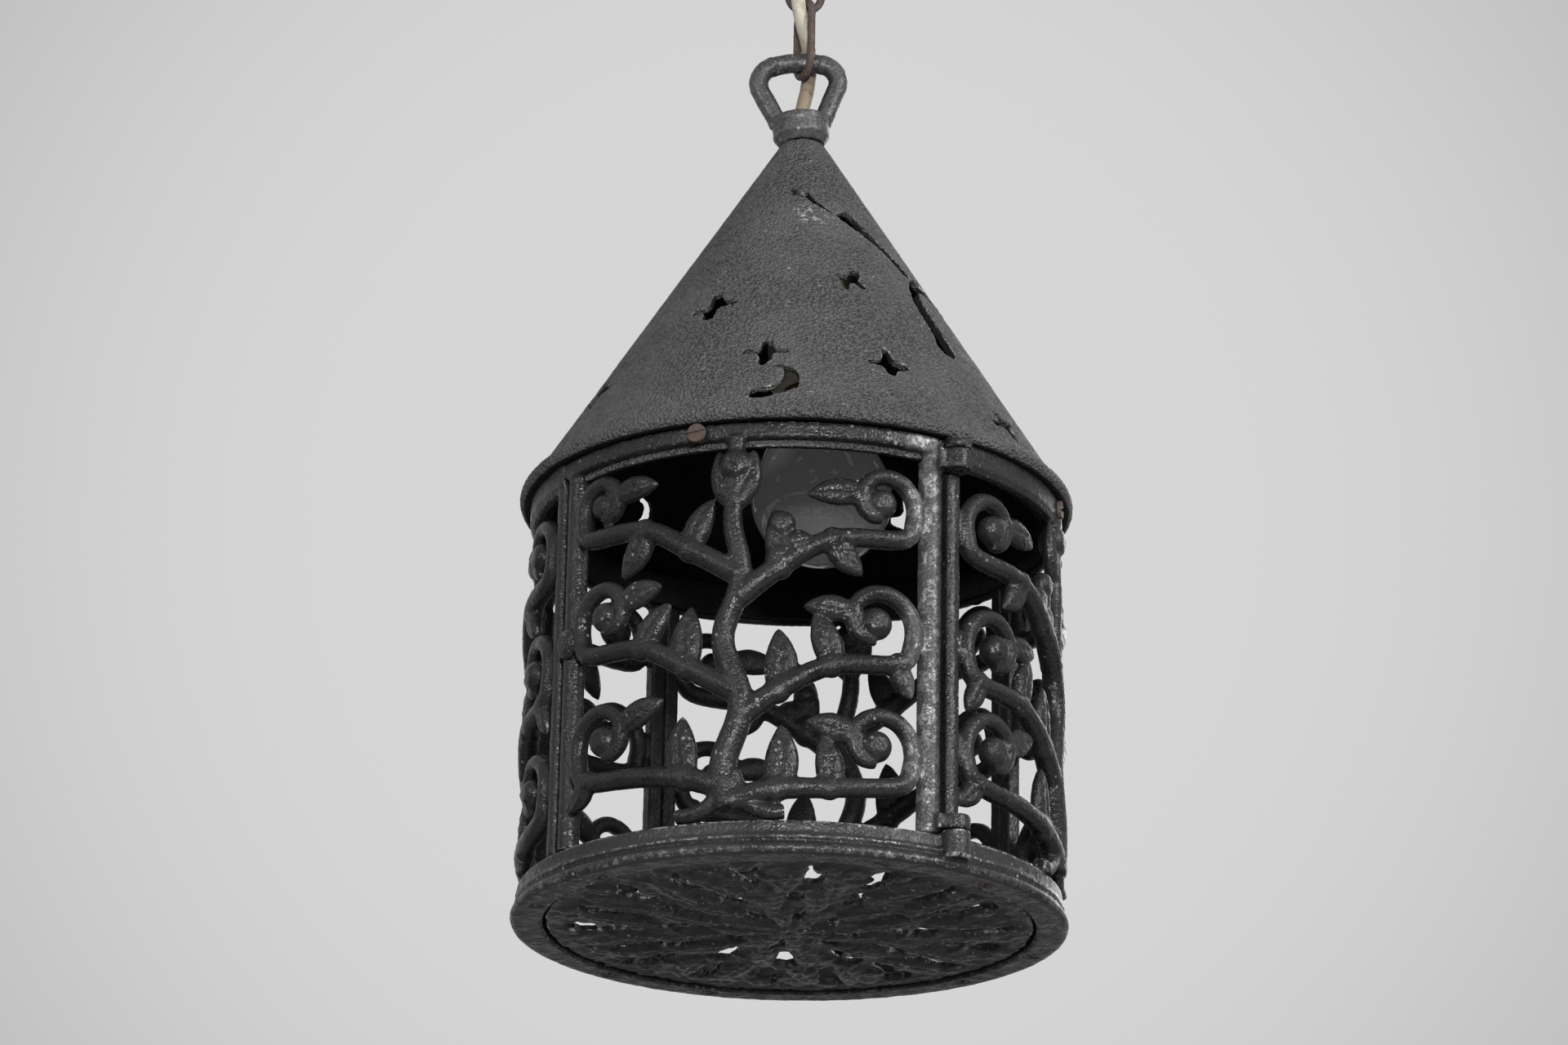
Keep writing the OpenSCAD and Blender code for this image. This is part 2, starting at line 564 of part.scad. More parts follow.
module bulb_glass() color([0.45, 0.45, 0.44]) hang() lean() rotate_extrude() {
    neck_z = contact_z - bulb_cap_h - 4;
    neck_r = bulb_cap_r - 1.2;
    // The neck leaves the globe on a tangent
    gap = neck_z - bulb_z;
    reach = sqrt(gap * gap + neck_r * neck_r);
    touch = atan2(gap, neck_r) - acos(bulb_r / reach);
    difference() {
        union() {
            intersection() {
                translate([0, bulb_z]) circle(r = bulb_r);
                translate([0, bulb_z - bulb_r - 1]) square([bulb_r + 1, bulb_r + 1 + bulb_r * sin(touch)]);
            }
            polygon([[0, bulb_z], [bulb_r * cos(touch), bulb_z + bulb_r * sin(touch)],
                [neck_r, neck_z], [0, neck_z]]);
        }
        translate([0, bulb_z]) circle(r = bulb_r - glass_t);
        polygon([[-1, bulb_z], [(bulb_r - glass_t) * cos(touch), bulb_z + (bulb_r - glass_t) * sin(touch)],
            [neck_r - glass_t, neck_z + 1], [-1, neck_z + 1]]);
        translate([-2 * bulb_r, bulb_z - 2 * bulb_r]) square([2 * bulb_r, 6 * bulb_r]);
    }
}

// Bottom of the cage

panel_edges = [[door_half + 0.3, post_az[0] - 0.2], [post_az[0] + 0.2, post_az[1] - 0.2],
    [post_az[1] + 0.2, 360 - door_half - 0.3]];
base_screw_az = [for (e = panel_edges) each [e[0] + 13.5, e[1] - 13.5], -32.5, 32.5];
base_screw_ring = lip_r - lip_t / 2;
base_screw_seat = 1.6;
base_screw_l = lip_z + 2.5;

module base_ring() color(iron) hang() difference() {
    union() {
        rotate_extrude() {
            polygon([[ring_inner_r, 0], [ring_r - 2.2, 0], [ring_r - 0.5, 0.8], [ring_r, 2.2],
                [ring_r - 0.5, 3.6], [ring_r - 1.6, ring_t], [cage_r, ring_t + 0.4],
                [cage_r, band_top - 0.5], [cage_r - 0.5, band_top], [cage_r - band_wall, band_top],
                [cage_r - band_wall, ring_t], [ring_inner_r, ring_t]]);
        }
        at_hinge(ring_t - 0.4) cylinder(r = knuckle_r, h = boss_top - ring_t + 0.4);
    }
    at_hinge(ring_t + 1.6) cylinder(r = pin_r + 0.02, h = boss_top);
    for (az = base_screw_az) at(az, base_screw_ring, -1) {
        cylinder(r = base_screw_r + 0.15, h = ring_t + 2);
        cylinder(r = base_screw_r * 1.8 + 0.1, h = base_screw_seat + 1);
    }
}

module base_screws() color(rust) hang() for (az = base_screw_az) {
    at(az, base_screw_ring, base_screw_seat) mirror([0, 0, 1]) rotate(az)
        slotted_screw(base_screw_r * 1.8, 1.5, base_screw_r, base_screw_l);
}

function polar(r, a) = [r * cos(a), r * sin(a)];

// A drop shaped hole between two places on the disc
module drop(p, q, r) {
    d = unit(q - p);
    side = [-d[1], d[0]];
    polygon([p - d * r * 0.7 - side * r * 0.5, p - d * r * 0.7 + side * r * 0.5, p + side * r,
        q + side * r * 0.3, q - side * r * 0.3, p - side * r]);
}

// Each ring of the grille: petals, their foot and tip as shares of the disc's radius, their width,
// and half the width of the holes between them
grille_r = ring_inner_r - 1.2;
grille_rings = [for (g = [[8, 0.08, 0.34, 9, 3.6], [12, 0.32, 0.62, 12, 5.6], [18, 0.58, 0.92, 12, 6.6]])
    [g[0], g[1] * grille_r, g[2] * grille_r, g[3], g[4]]];

module bottom_grille() color(iron) hang() {
    difference() {
        union() {
            tube_ring(lip_r - 0.4, grille_r - 3.5, ring_t + 0.02, grille_t - 0.04);
            tube_ring(grille_r, grille_r - 8, 1.2, ring_t);
            translate([0, 0, 1.6]) linear_extrude(height = 2.6) difference() {
                circle(r = grille_r - 5);
                for (ring = grille_rings, k = [0 : ring[0] - 1]) {
                    a = 360 * (k + 0.5) / ring[0];
                    drop(polar(ring[2] - 6, a), polar(ring[1] + 7, a), ring[4]);
                }
            }
            translate([0, 0, 0.4]) linear_extrude(height = 3)
                for (ring = grille_rings, k = [0 : ring[0] - 1])
                    petal(polar(ring[1], 360 * k / ring[0]), polar(ring[2], 360 * k / ring[0]), ring[3]);
            translate([0, 0, 0.6]) cylinder(r = 9, h = 3);
        }
        for (az = base_screw_az) at(az, base_screw_ring, 0)
            cylinder(r = base_screw_r + 0.15, h = 20, $fn = 16);
    }
}

// The outline of a petal from its foot p to its tip q
module petal(p, q, w) {
    d = q - p;
    side = [-d[1], d[0]] / norm(d) * w / 2;
    polygon([for (f = [[0, -0.5], [0.3, -0.75], [0.6, -1], [0.8, -0.9], [0.93, -0.5], [1, 0], [0.93, 0.5],
        [0.8, 0.9], [0.6, 1], [0.3, 0.75], [0, 0.5]]) p + d * f[0] + side * f[1]]);
}

// Panels

module fixed_stile(az) {
    at(az, cage_r - 0.6, band_top + 0.02) linear_extrude(height = rail_z + 2 - band_top) intersection() {
        translate([0, stile_d * 0.8]) circle(r = stile_d * 0.8);
        translate([-stile_w / 2, 0]) square([stile_w, stile_d]);
    }
}

module skirt_room() translate([0, 0, stile_cut_z]) cylinder(r = rail_in_r + 0.1, h = cage_h);

// Azimuth that a length along the cage's face spans
function span(length, r) = length / r * 180 / PI;

module fixed_frame(edges) {
    half_stile = span(stile_w / 2, cage_r);
    difference() {
        union() {
            arc_bar(rail_in_r, cage_r, rail_z, cage_h - 0.05, edges[0], edges[1]);
            arc_bar(rail_in_r, cage_r - 1, rail_z - 2.4, rail_z + eps, edges[0], edges[1]);
            arc_bar(lip_r - lip_t, lip_r, lip_z, band_top + 2, edges[0], edges[1]);
            for (az = [edges[0] + half_stile, edges[1] - half_stile]) difference() {
                fixed_stile(az);
                skirt_room();
            }
        }
        for (az = [90, 180, 270]) radial(az, cage_r + 2, screw_z)
            translate([0, 0, -12]) cylinder(r = screw_r + 0.1, h = 16);
        for (az = base_screw_az) at(az, base_screw_ring, 0)
            cylinder(r = base_screw_r + 0.1, h = base_screw_seat + base_screw_l + 0.4);
    }
}

module right_frame() color(iron) hang() difference() {
    union() {
        fixed_frame(panel_edges[0]);
        at_hinge(lug_z) cylinder(r = knuckle_r, h = lug_top - lug_z);
    }
    at_hinge(band_top - 1)
        cylinder(r = knuckle_r + knuckle_clear, h = knuckle_low_z + knuckle_low_h + 1.5 - band_top);
    at_hinge(knuckle_up_z - 0.5) cylinder(r = knuckle_r + knuckle_clear, h = lug_z - knuckle_up_z + 0.5);
    at_hinge(lug_z - 1) cylinder(r = pin_r + 0.02, h = 20);
}

module back_frame() color(iron) hang() fixed_frame(panel_edges[1]);
module left_frame() color(iron) hang() fixed_frame(panel_edges[2]);

module upper_hinge_pin() color(rust) hang() {
    at_hinge(knuckle_up_z + 1) cylinder(r = pin_r, h = lug_top - knuckle_up_z - 1);
}
module lower_hinge_pin() color(rust) hang() {
    at_hinge(ring_t + 1.7) cylinder(r = pin_r, h = knuckle_low_z + knuckle_low_h - ring_t - 2.2);
}

// Door

door_stile_az = door_half - span(door_gap / 2 + door_stile_w / 2, cage_r - 5);

module door_stile(az) {
    at(az, cage_r - 0.6, door_bottom) linear_extrude(height = door_rail_z + 2 - door_bottom) intersection() {
        translate([0, door_stile_w / 2]) circle(r = door_stile_w / 2);
        translate([-door_stile_w / 2, 0]) square([door_stile_w, stile_d]);
    }
}

module knuckle(z, h) at_hinge(z) {
    cylinder(r = knuckle_r, h = h);
    translate([-9, -1, 0]) cube([9, 6.4, h]);
}

module door_frame() color(iron) hang() difference() {
    union() {
        arc_bar(cage_r - rail_t, cage_r - 0.2, door_rail_z, door_rail_z + door_rail_h,
            -door_half + 0.2, door_half - 2.2);
        for (side = [-1, 1]) difference() {
            door_stile(side * door_stile_az);
            skirt_room();
        }
        knuckle(knuckle_low_z, knuckle_low_h);
        knuckle(knuckle_up_z, knuckle_up_h);
    }
    at_hinge(0) cylinder(r = knuckle_r + knuckle_clear, h = knuckle_low_z - 0.1);
    at_hinge(lug_z - 0.4) cylinder(r = knuckle_r + knuckle_clear, h = 20);
    at_hinge(0) cylinder(r = pin_r + 0.08, h = cage_h + 5);
    radial(-8, cage_r + 2, screw_z) translate([0, 0, -12]) cylinder(r = screw_r + 0.05, h = 16);
    at_knob() translate([0, 0, -12]) cylinder(r = knob_shank_r + 0.05, h = 16);
}

module at_knob() radial(-door_stile_az + 1, cage_r - 0.55, knob_z) children();

module door_knob() color(iron) hang() at_knob() {
    cylinder(r1 = knob_r, r2 = knob_r - 0.6, h = 1.6);
    translate([0, 0, 1.6 - eps]) cylinder(r1 = knob_r - 0.6, r2 = knob_r - 3, h = 1.4);
    translate([0, 0, -stile_d - 1]) cylinder(r = knob_shank_r, h = stile_d + 1 + eps);
    translate([0, 0, -stile_d - 2.2]) cylinder(r = knob_nut_r, h = 2.1);
}

module door_screw() color(rust) hang() radial(-8, cage_r + 1.3, screw_z) {
    rotate(6) slotted_screw(screw_head_r, 1.8, screw_r, rail_t + 1.1);
}

// Openwork: climbing stems, leaves and berries on the cage's face.
// A place on it is [length round the face, height, rod radius].

function wrapped(q, r) = [r * sin(q[0] / r * 180 / PI), -r * cos(q[0] / r * 180 / PI), q[1]];
function outwards(q, r) = [sin(q[0] / r * 180 / PI), -cos(q[0] / r * 180 / PI), 0];
function curl(c, r0, r1, a0, a1, n, w0, w1) = [for (i = [0 : n])
    let (t = i / n, r = r0 + (r1 - r0) * t, a = a0 + (a1 - a0) * t)
    [c[0] + r * cos(a), c[1] + r * sin(a), w0 + (w1 - w0) * t]];
function flipped(p, side) = [for (q = p) [side * q[0], q[1], q[2]]];

module stem(points, side = 1, n = 2) {
    q = smooth(flipped(points, side), n);
    swept([for (p = q) wrapped(p, work_r)], [for (p = q) outwards(p, work_r)], [for (p = q) p[2]],
        [for (p = q) 0.9 * p[2]], 6, 0, len(q) - 1);
}

module on_face(u, v) rotate([0, 0, span(u, work_r)]) translate([0, -work_r, v]) children();

// Rows of a leaf: share of its length, share of its half width, and thickness
leaf_rows = [[-0.08, 0.34, 2.4], [0.2, 0.8, 3.3], [0.44, 1, 3.6], [0.68, 0.84, 3.2],
    [0.88, 0.46, 2.4], [1, 0.12, 1]];

module leaf(u, v, a, l, w, side = 1) {
    length = l * growth;
    q = [for (r = leaf_rows)
        [side * (u + length * r[0] * cos(a + 14 * r[0])), v + length * r[0] * sin(a + 14 * r[0])]];
    swept([for (p = q) wrapped(p, work_r)], [for (p = q) outwards(p, work_r)],
        [for (r = leaf_rows) growth * w * r[1] / 2], [for (r = leaf_rows) growth * r[2]], 5, 0, len(q) - 1);
}

module berry(u, v, r, side = 1) on_face(side * u, v) scale([1, 0.85, 1])
    hull() sphere(r = r * growth, $fn = 8);

work_low = door_bottom;
work_top = door_rail_z;
// Height at a share of the openwork's height
function up(s) = work_low + s * (work_top - work_low);

// Points whose lengths along the face grow with the cage
function grown(p) = [for (q = p) [q[0] * growth, q[1], q[2]]];

module trunk(side, top) {
    stem(grown([[0, up(0.02) + 2, trunk_r], [-3, up(0.14), trunk_r], [4, up(0.3), trunk_r * 0.94],
        [-4, up(0.47), trunk_r * 0.86], [3, up(0.63), trunk_r * 0.8], [-1, up(0.78), trunk_r * 0.72],
        [0, up(0.9), trunk_r * 0.62], [0, top, trunk_r * 0.7]]), side, 1);
    for (foot = [-1, 1]) stem(grown([[0, up(0.12), trunk_r * 0.8], [foot * 6, up(0.05), 3.8],
        [foot * 14, up(0) + 3.4, 3.2], [foot * 22, up(0) + 3.2, 2.8]]), 1, 1);
}

// A branch that leaves the trunk, sweeps out to the stile and curls in round a berry.
// Each of its leaves: the branch's point it grows from, angle, length and width
module bough(half, start, v0, curl_size, side, leaves) {
    curl_r = curl_size * growth;
    reach = half - branch_r * 0.6;
    c = [reach - curl_r, v0];
    line = concat([[start[0], start[1], branch_r * 1.2],
        [reach * 0.24, start[1] + (v0 - curl_r - start[1]) * 0.42 + 2, branch_r * 1.15],
        [reach * 0.52, v0 - curl_r * 1.02, branch_r * 1.05]],
        curl(c, curl_r, curl_r * 0.34, -58, 270, 9, branch_r, branch_r * 0.74));
    stem(line, side, 1);
    berry(c[0], c[1], curl_size * 0.24 + 2.2, side);
    for (f = leaves) leaf(line[f[0]][0], line[f[0]][1], f[1], f[2], f[3], side);
}

// The openwork of a panel: half is its half width along the face
module openwork(side, half, stands) {
    trunk(side, stands ? rail_z + 0.3 : door_rail_z + 1);
    bough(half, [0, up(0.05)], up(0.2), 18, 1, [[1, 72, 27, 14], [2, 84, 22, 12], [9, 150, 20, 12]]);
    bough(half, [0, up(0.08)], up(0.25), 18, -1, [[1, 72, 26, 14], [9, 140, 22, 12], [3, -60, 15, 10]]);
    bough(half, [2, up(0.26)], up(0.52), 18.5, side,
        [[1, 76, 26, 14], [2, 94, 23, 13], [9, 160, 20, 11], [3, -80, 15, 10]]);
    bough(half, [-2, up(0.33)], up(0.58), 17, -side, [[1, 78, 26, 14], [2, 112, 22, 12], [9, 150, 20, 12]]);
    bough(half, [2, up(0.58)], up(0.84), 16.5, side, [[1, 82, 25, 13], [9, 170, 22, 12], [2, -64, 19, 12]]);
    bough(half, [-2, up(0.64)], up(0.88), 14.5, -side,
        [[1, 100, 23, 12], [2, -74, 22, 13], [9, 160, 20, 11]]);
    leaf(0, up(0.83), 58, 24, 12);
    leaf(0, up(0.83), 58, 24, 12, -1);
    berry(0, up(0.93), 7);
    for (q = [[18, 0.68], [26, 0.72], [19, 0.77]]) berry(q[0] * growth, up(q[1]), 5.6, side);
    if (stands) for (u = [-18, 18]) {
        stem([[u, up(0) + 5, branch_r * 0.8], [u, up(0) + 3, branch_r * 0.9],
            [u, band_top + 0.02, branch_r]], 1, 1);
    }
}

module clear_of_skirt() difference() {
    children();
    skirt_room();
}

// Length along the openwork's face that an azimuth spans
function face_length(az) = az * work_r * PI / 180;

module fixed_openwork(edges, side) {
    half_angle = (edges[1] - edges[0]) / 2;
    color(iron) hang() clear_of_skirt() rotate([0, 0, edges[0] + half_angle])
        openwork(side, face_length(half_angle) - stile_w + 0.3, true);
}
module right_openwork() fixed_openwork(panel_edges[0], -1);
module back_openwork() fixed_openwork(panel_edges[1], 1);
module left_openwork() fixed_openwork(panel_edges[2], 1);

module door_openwork() color(iron) hang() difference() {
    clear_of_skirt() openwork(1, face_length(door_stile_az) - door_stile_w / 2 + 0.7, false);
    at_knob() {
        translate([0, 0, -stile_d - 6]) cylinder(r = knob_nut_r + 0.3, h = 8, $fn = 24);
        translate([0, 0, -0.1]) cylinder(r = knob_r + 0.2, h = 8, $fn = 32);
    }
}

ceiling_rose();
ceiling_hook();
hook_nut();
terminal_block();
cord_bush();
cord_upper();
cord_middle();
cord_lower();
tube_cord();
upper_link();
lower_link();
hanging_loop();
roof_cone();
roof_screws();
cup_washer();
tube_nut();
threaded_tube();
cap_nuts();
lampholder_cap();
lampholder_shell();
lampholder_insert();
contact_spring();
bulb_cap();
bulb_glass();
base_ring();
base_screws();
bottom_grille();
right_frame();
back_frame();
left_frame();
right_openwork();
back_openwork();
left_openwork();
upper_hinge_pin();
lower_hinge_pin();
door_frame();
door_openwork();
door_knob();
door_screw();
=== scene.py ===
import json
from math import atan2, cos, pi, radians, sin, sqrt

import bpy
from mathutils import Matrix, Vector


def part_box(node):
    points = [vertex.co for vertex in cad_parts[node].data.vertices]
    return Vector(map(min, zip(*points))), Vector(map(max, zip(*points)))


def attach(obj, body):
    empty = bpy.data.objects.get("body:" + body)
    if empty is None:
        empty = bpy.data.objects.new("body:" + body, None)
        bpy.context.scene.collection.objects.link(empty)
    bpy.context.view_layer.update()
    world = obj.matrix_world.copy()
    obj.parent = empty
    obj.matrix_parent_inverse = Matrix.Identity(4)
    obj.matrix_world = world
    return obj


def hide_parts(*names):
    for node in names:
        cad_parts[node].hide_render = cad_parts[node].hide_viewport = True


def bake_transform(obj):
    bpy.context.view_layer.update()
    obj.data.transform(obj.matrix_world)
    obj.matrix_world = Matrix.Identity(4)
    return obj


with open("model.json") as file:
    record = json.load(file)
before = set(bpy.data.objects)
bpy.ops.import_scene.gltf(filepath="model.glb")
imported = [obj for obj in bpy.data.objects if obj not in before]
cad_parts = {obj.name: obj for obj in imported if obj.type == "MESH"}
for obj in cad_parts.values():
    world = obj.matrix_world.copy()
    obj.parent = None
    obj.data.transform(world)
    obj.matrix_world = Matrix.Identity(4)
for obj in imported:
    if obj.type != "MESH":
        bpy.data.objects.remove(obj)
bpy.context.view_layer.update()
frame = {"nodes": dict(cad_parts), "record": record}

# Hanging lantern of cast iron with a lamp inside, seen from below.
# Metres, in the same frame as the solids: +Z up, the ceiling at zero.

nodes = frame["nodes"]
mm = 0.001

# Heights and radii of the solids that the new pieces are fitted to
ring_low, ring_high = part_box("base_ring")
base_z = ring_low.z
ring_r = ring_high.x
rose_low, rose_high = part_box("ceiling_rose")


def local(z):
    """Height in the row frame of a height above the ring's underside, in millimetres"""
    return base_z + z * mm


# Camera at the photograph's viewing angle

camera_place = Vector((0.4332, -1.8992, -1.03914))
camera_turn = radians(13)
camera_tilt = radians(20.26)
camera_roll = radians(1.03)
camera_lens = 112.5


def make_camera():
    view = Vector((-sin(camera_turn) * cos(camera_tilt), cos(camera_turn) * cos(camera_tilt), sin(camera_tilt)))
    right = view.cross(Vector((0, 0, 1))).normalized()
    up = right.cross(view)
    rolled_right = right * cos(camera_roll) + up * sin(camera_roll)
    rolled_up = up * cos(camera_roll) - right * sin(camera_roll)
    data = bpy.data.cameras.new("camera")
    data.lens = camera_lens
    data.sensor_width = 36
    data.clip_end = 60
    camera = bpy.data.objects.new("camera", data)
    bpy.context.scene.collection.objects.link(camera)
    matrix = Matrix((rolled_right, rolled_up, -view)).transposed().to_4x4()
    matrix.translation = camera_place
    camera.matrix_world = matrix
    bpy.context.scene.camera = camera


# Working with bpy.ops

def deselect():
    """Leaves nothing selected, because an operator acts on all that is"""
    if bpy.context.object and bpy.context.object.mode != "OBJECT":
        bpy.ops.object.mode_set(mode="OBJECT")
    bpy.ops.object.select_all(action="DESELECT")


def only(piece):
    deselect()
    piece.select_set(True)
    bpy.context.view_layer.objects.active = piece


def apply_modifier(piece, kind, **values):
    """Adds a modifier of that kind, sets its values and applies it"""
    only(piece)
    modifier = piece.modifiers.new(kind.lower(), kind)
    for name, value in values.items():
        setattr(modifier, name, value)
    bpy.ops.object.modifier_apply(modifier=modifier.name)


def settle(piece):
    """Puts the piece's place into its mesh"""
    only(piece)
    bpy.ops.object.transform_apply(location=True, rotation=True, scale=True)


def smooth_shade(piece, angle=40):
    only(piece)
    bpy.ops.object.shade_smooth_by_angle(angle=radians(angle))


def joined(name, pieces):
    """All the pieces as one object of that name"""
    deselect()
    for piece in pieces:
        piece.select_set(True)
    bpy.context.view_layer.objects.active = pieces[0]
    bpy.ops.object.join()
    pieces[0].name = name
    pieces[0].data.name = name
    return pieces[0]


def copy_of(node, name):
    """A merged copy of a node's own solid"""
    piece = nodes[node].copy()
    piece.data = nodes[node].data.copy()
    piece.name = name
    piece.parent = None
    for key in list(piece.keys()):
        del piece[key]
    bpy.context.scene.collection.objects.link(piece)
    only(piece)
    bpy.ops.object.mode_set(mode="EDIT")
    bpy.ops.mesh.select_all(action="SELECT")
    bpy.ops.mesh.remove_doubles(threshold=2e-6)
    bpy.ops.object.mode_set(mode="OBJECT")
    return piece


# Cords: the flex from inside the threaded tube up through the chain into the rose

cord_d = 6.4 * mm
chain_turn = radians(13)
cord_route = [[-0.5, 0, -142], [-0.9, 0.1, -136], [-0.8, 0.9, -131], [-0.2, 2.5, -126], [0.6, 4.6, -121],
    [1.5, 6.6, -116], [2, 8, -111.5], [2.4, 8.5, -107.5], [2.5, 7.8, -103.5], [2.3, 6.2, -100],
    [1.8, 3.9, -96.5], [0.8, 1.4, -92.5], [-0.5, -1.2, -88.3], [-1.7, -3.6, -84.3], [-2.6, -5.3, -80.5],
    [-3.2, -6.2, -76.5], [-3.8, -6.7, -72], [-5, -7, -65], [-6.4, -7.3, -57], [-7.1, -7.6, -48],
    [-7.4, -7.9, -40], [-7.4, -8, -30], [-7.4, -8, -24], [-7.4, -8, -18]]
cord_splits = [0, 9, 17, 23]


def cord_points(first, last, steps=5):
    """Points of the route between two of its own, on the smooth curve through them all"""
    route = [Vector((x * cos(chain_turn) - y * sin(chain_turn), x * sin(chain_turn) + y * cos(chain_turn), z)) * mm
        for x, y, z in cord_route]
    points = []
    for i in range(first, last):
        a, b, c = route[max(i - 1, 0)], route[i], route[i + 1]
        d = route[min(i + 2, len(route) - 1)]
        for step in range(steps):
            t = step / steps
            points.append(0.5 * (2 * b + (c - a) * t + (2 * a - 5 * b + 4 * c - d) * t ** 2
                + (3 * b - a - 3 * c + d) * t ** 3))
    return points + [route[last]]


def make_cord(name, part, node, material):
    points = cord_points(cord_splits[part], cord_splits[part + 1])
    bpy.ops.curve.primitive_nurbs_path_add()
    curve = bpy.context.object
    curve.name = name
    spline = curve.data.splines[0]
    spline.points.add(len(points) - len(spline.points))
    for point, place in zip(spline.points, points):
        point.co = (*place, 1)
    spline.type = "POLY"
    curve.data.bevel_depth = cord_d / 2
    curve.data.bevel_resolution = 6
    curve.data.use_fill_caps = True
    only(curve)
    bpy.ops.object.convert(target="MESH")
    cord = bpy.context.object
    smooth_shade(cord)
    cord.data.materials.clear()
    cord.data.materials.append(material)
    length = sum((b - a).length for a, b in zip(points, points[1:]))
    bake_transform(cord)
    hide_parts(node)
    tuple(points[0])
    [tuple(p) for p in points]
    return cord


# Shader node groups

def new_group(name, inputs, outputs):
    """An empty node group with sockets of those names: (name, kind, first value)"""
    tree = bpy.data.node_groups.new(name, "ShaderNodeTree")
    for socket, kind, value in inputs:
        made = tree.interface.new_socket(socket, in_out="INPUT", socket_type=kind)
        made.default_value = value
    for socket, kind in outputs:
        tree.interface.new_socket(socket, in_out="OUTPUT", socket_type=kind)
    return tree, tree.nodes.new("NodeGroupInput"), tree.nodes.new("NodeGroupOutput")


def add(tree, kind, values=None, **settings):
    """A node with its settings, and its sockets set or linked"""
    node = tree.nodes.new(kind)
    for name, value in settings.items():
        setattr(node, name, value)
    for name, value in (values or {}).items():
        if isinstance(value, bpy.types.NodeSocket):
            tree.links.new(value, node.inputs[name])
        else:
            node.inputs[name].default_value = value
    return node


def math_node(tree, operation, a, b=0.5, clamp=False):
    return add(tree, "ShaderNodeMath", {0: a, 1: b}, operation=operation, use_clamp=clamp).outputs[0]


def ramp(tree, factor, low, high, bottom=0.0, top=1.0):
    """A number that goes from bottom to top as the factor goes from low to high"""
    return add(tree, "ShaderNodeMapRange", {"Value": factor, "From Min": low, "From Max": high,
        "To Min": bottom, "To Max": top}, interpolation_type="SMOOTHSTEP").outputs[0]


def mixed(tree, factor, a, b, blend="MIX"):
    """A mix of two colours"""
    node = tree.nodes.new("ShaderNodeMix")
    node.data_type = "RGBA"
    node.blend_type = blend
    for socket, value in ((node.inputs[0], factor), (node.inputs[6], a), (node.inputs[7], b)):
        if isinstance(value, bpy.types.NodeSocket):
            tree.links.new(value, socket)
        else:
            socket.default_value = value
    return node.outputs[2]


def grey(value, warmth=0.0):
    """A dark neutral colour, a little warmer or cooler"""
    return (value * (1 + warmth), value, value * (1 - warmth), 1)


def noise(tree, place, scale, detail=4.0, rough=0.6):
    return add(tree, "ShaderNodeTexNoise", {"Vector": place, "Scale": scale, "Detail": detail,
        "Roughness": rough}).outputs["Fac"]


def cast_grain_group():
    """Sand-cast skin: round grains, sparse pits and slow waves as a height, and sparse pale flecks that are partly bare
    spots and partly painted glints
    """
    tree, given, out = new_group("sand cast skin",
        [("Place", "NodeSocketVector", (0, 0, 0)), ("Grain", "NodeSocketFloat", 900.0),
            ("Grain Depth", "NodeSocketFloat", 0.5), ("Pit Depth", "NodeSocketFloat", 0.5)],
        [("Height", "NodeSocketFloat"), ("Grains", "NodeSocketFloat"), ("Pits", "NodeSocketFloat"),
            ("Flecks", "NodeSocketFloat")])
    place = given.outputs["Place"]
    cells = add(tree, "ShaderNodeTexVoronoi", {"Vector": place, "Scale": given.outputs["Grain"],
        "Randomness": 1.0}, feature="SMOOTH_F1").outputs["Distance"]
    grains = ramp(tree, cells, 0.15, 0.75, 1.0, 0.0)
    dust = noise(tree, place, 2400.0, 2.0, 0.5)
    holes = add(tree, "ShaderNodeTexVoronoi", {"Vector": place, "Scale": 210.0}, feature="F1").outputs["Distance"]
    sparse = noise(tree, place, 60.0, 2.0, 0.5)
    pits = math_node(tree, "MULTIPLY", ramp(tree, holes, 0.08, 0.26, 1.0, 0.0), ramp(tree, sparse, 0.5, 0.62))
    waves = noise(tree, place, 95.0, 3.0, 0.55)
    spots = add(tree, "ShaderNodeTexVoronoi", {"Vector": place, "Scale": 330.0}, feature="F1").outputs["Distance"]
    flecks = math_node(tree, "MULTIPLY", ramp(tree, spots, 0.1, 0.3, 1.0, 0.0),
        ramp(tree, noise(tree, place, 75.0, 3.0, 0.6), 0.55, 0.64))
    fine = math_node(tree, "MULTIPLY", math_node(tree, "ADD", grains, math_node(tree, "MULTIPLY", dust, 0.6)),
        given.outputs["Grain Depth"])
    deep = math_node(tree, "MULTIPLY", pits, given.outputs["Pit Depth"])
    height = math_node(tree, "ADD", math_node(tree, "SUBTRACT", fine, deep), math_node(tree, "MULTIPLY", waves, 1.6))
    tree.links.new(height, out.inputs["Height"])
    tree.links.new(grains, out.inputs["Grains"])
    tree.links.new(pits, out.inputs["Pits"])
    tree.links.new(flecks, out.inputs["Flecks"])
    return tree


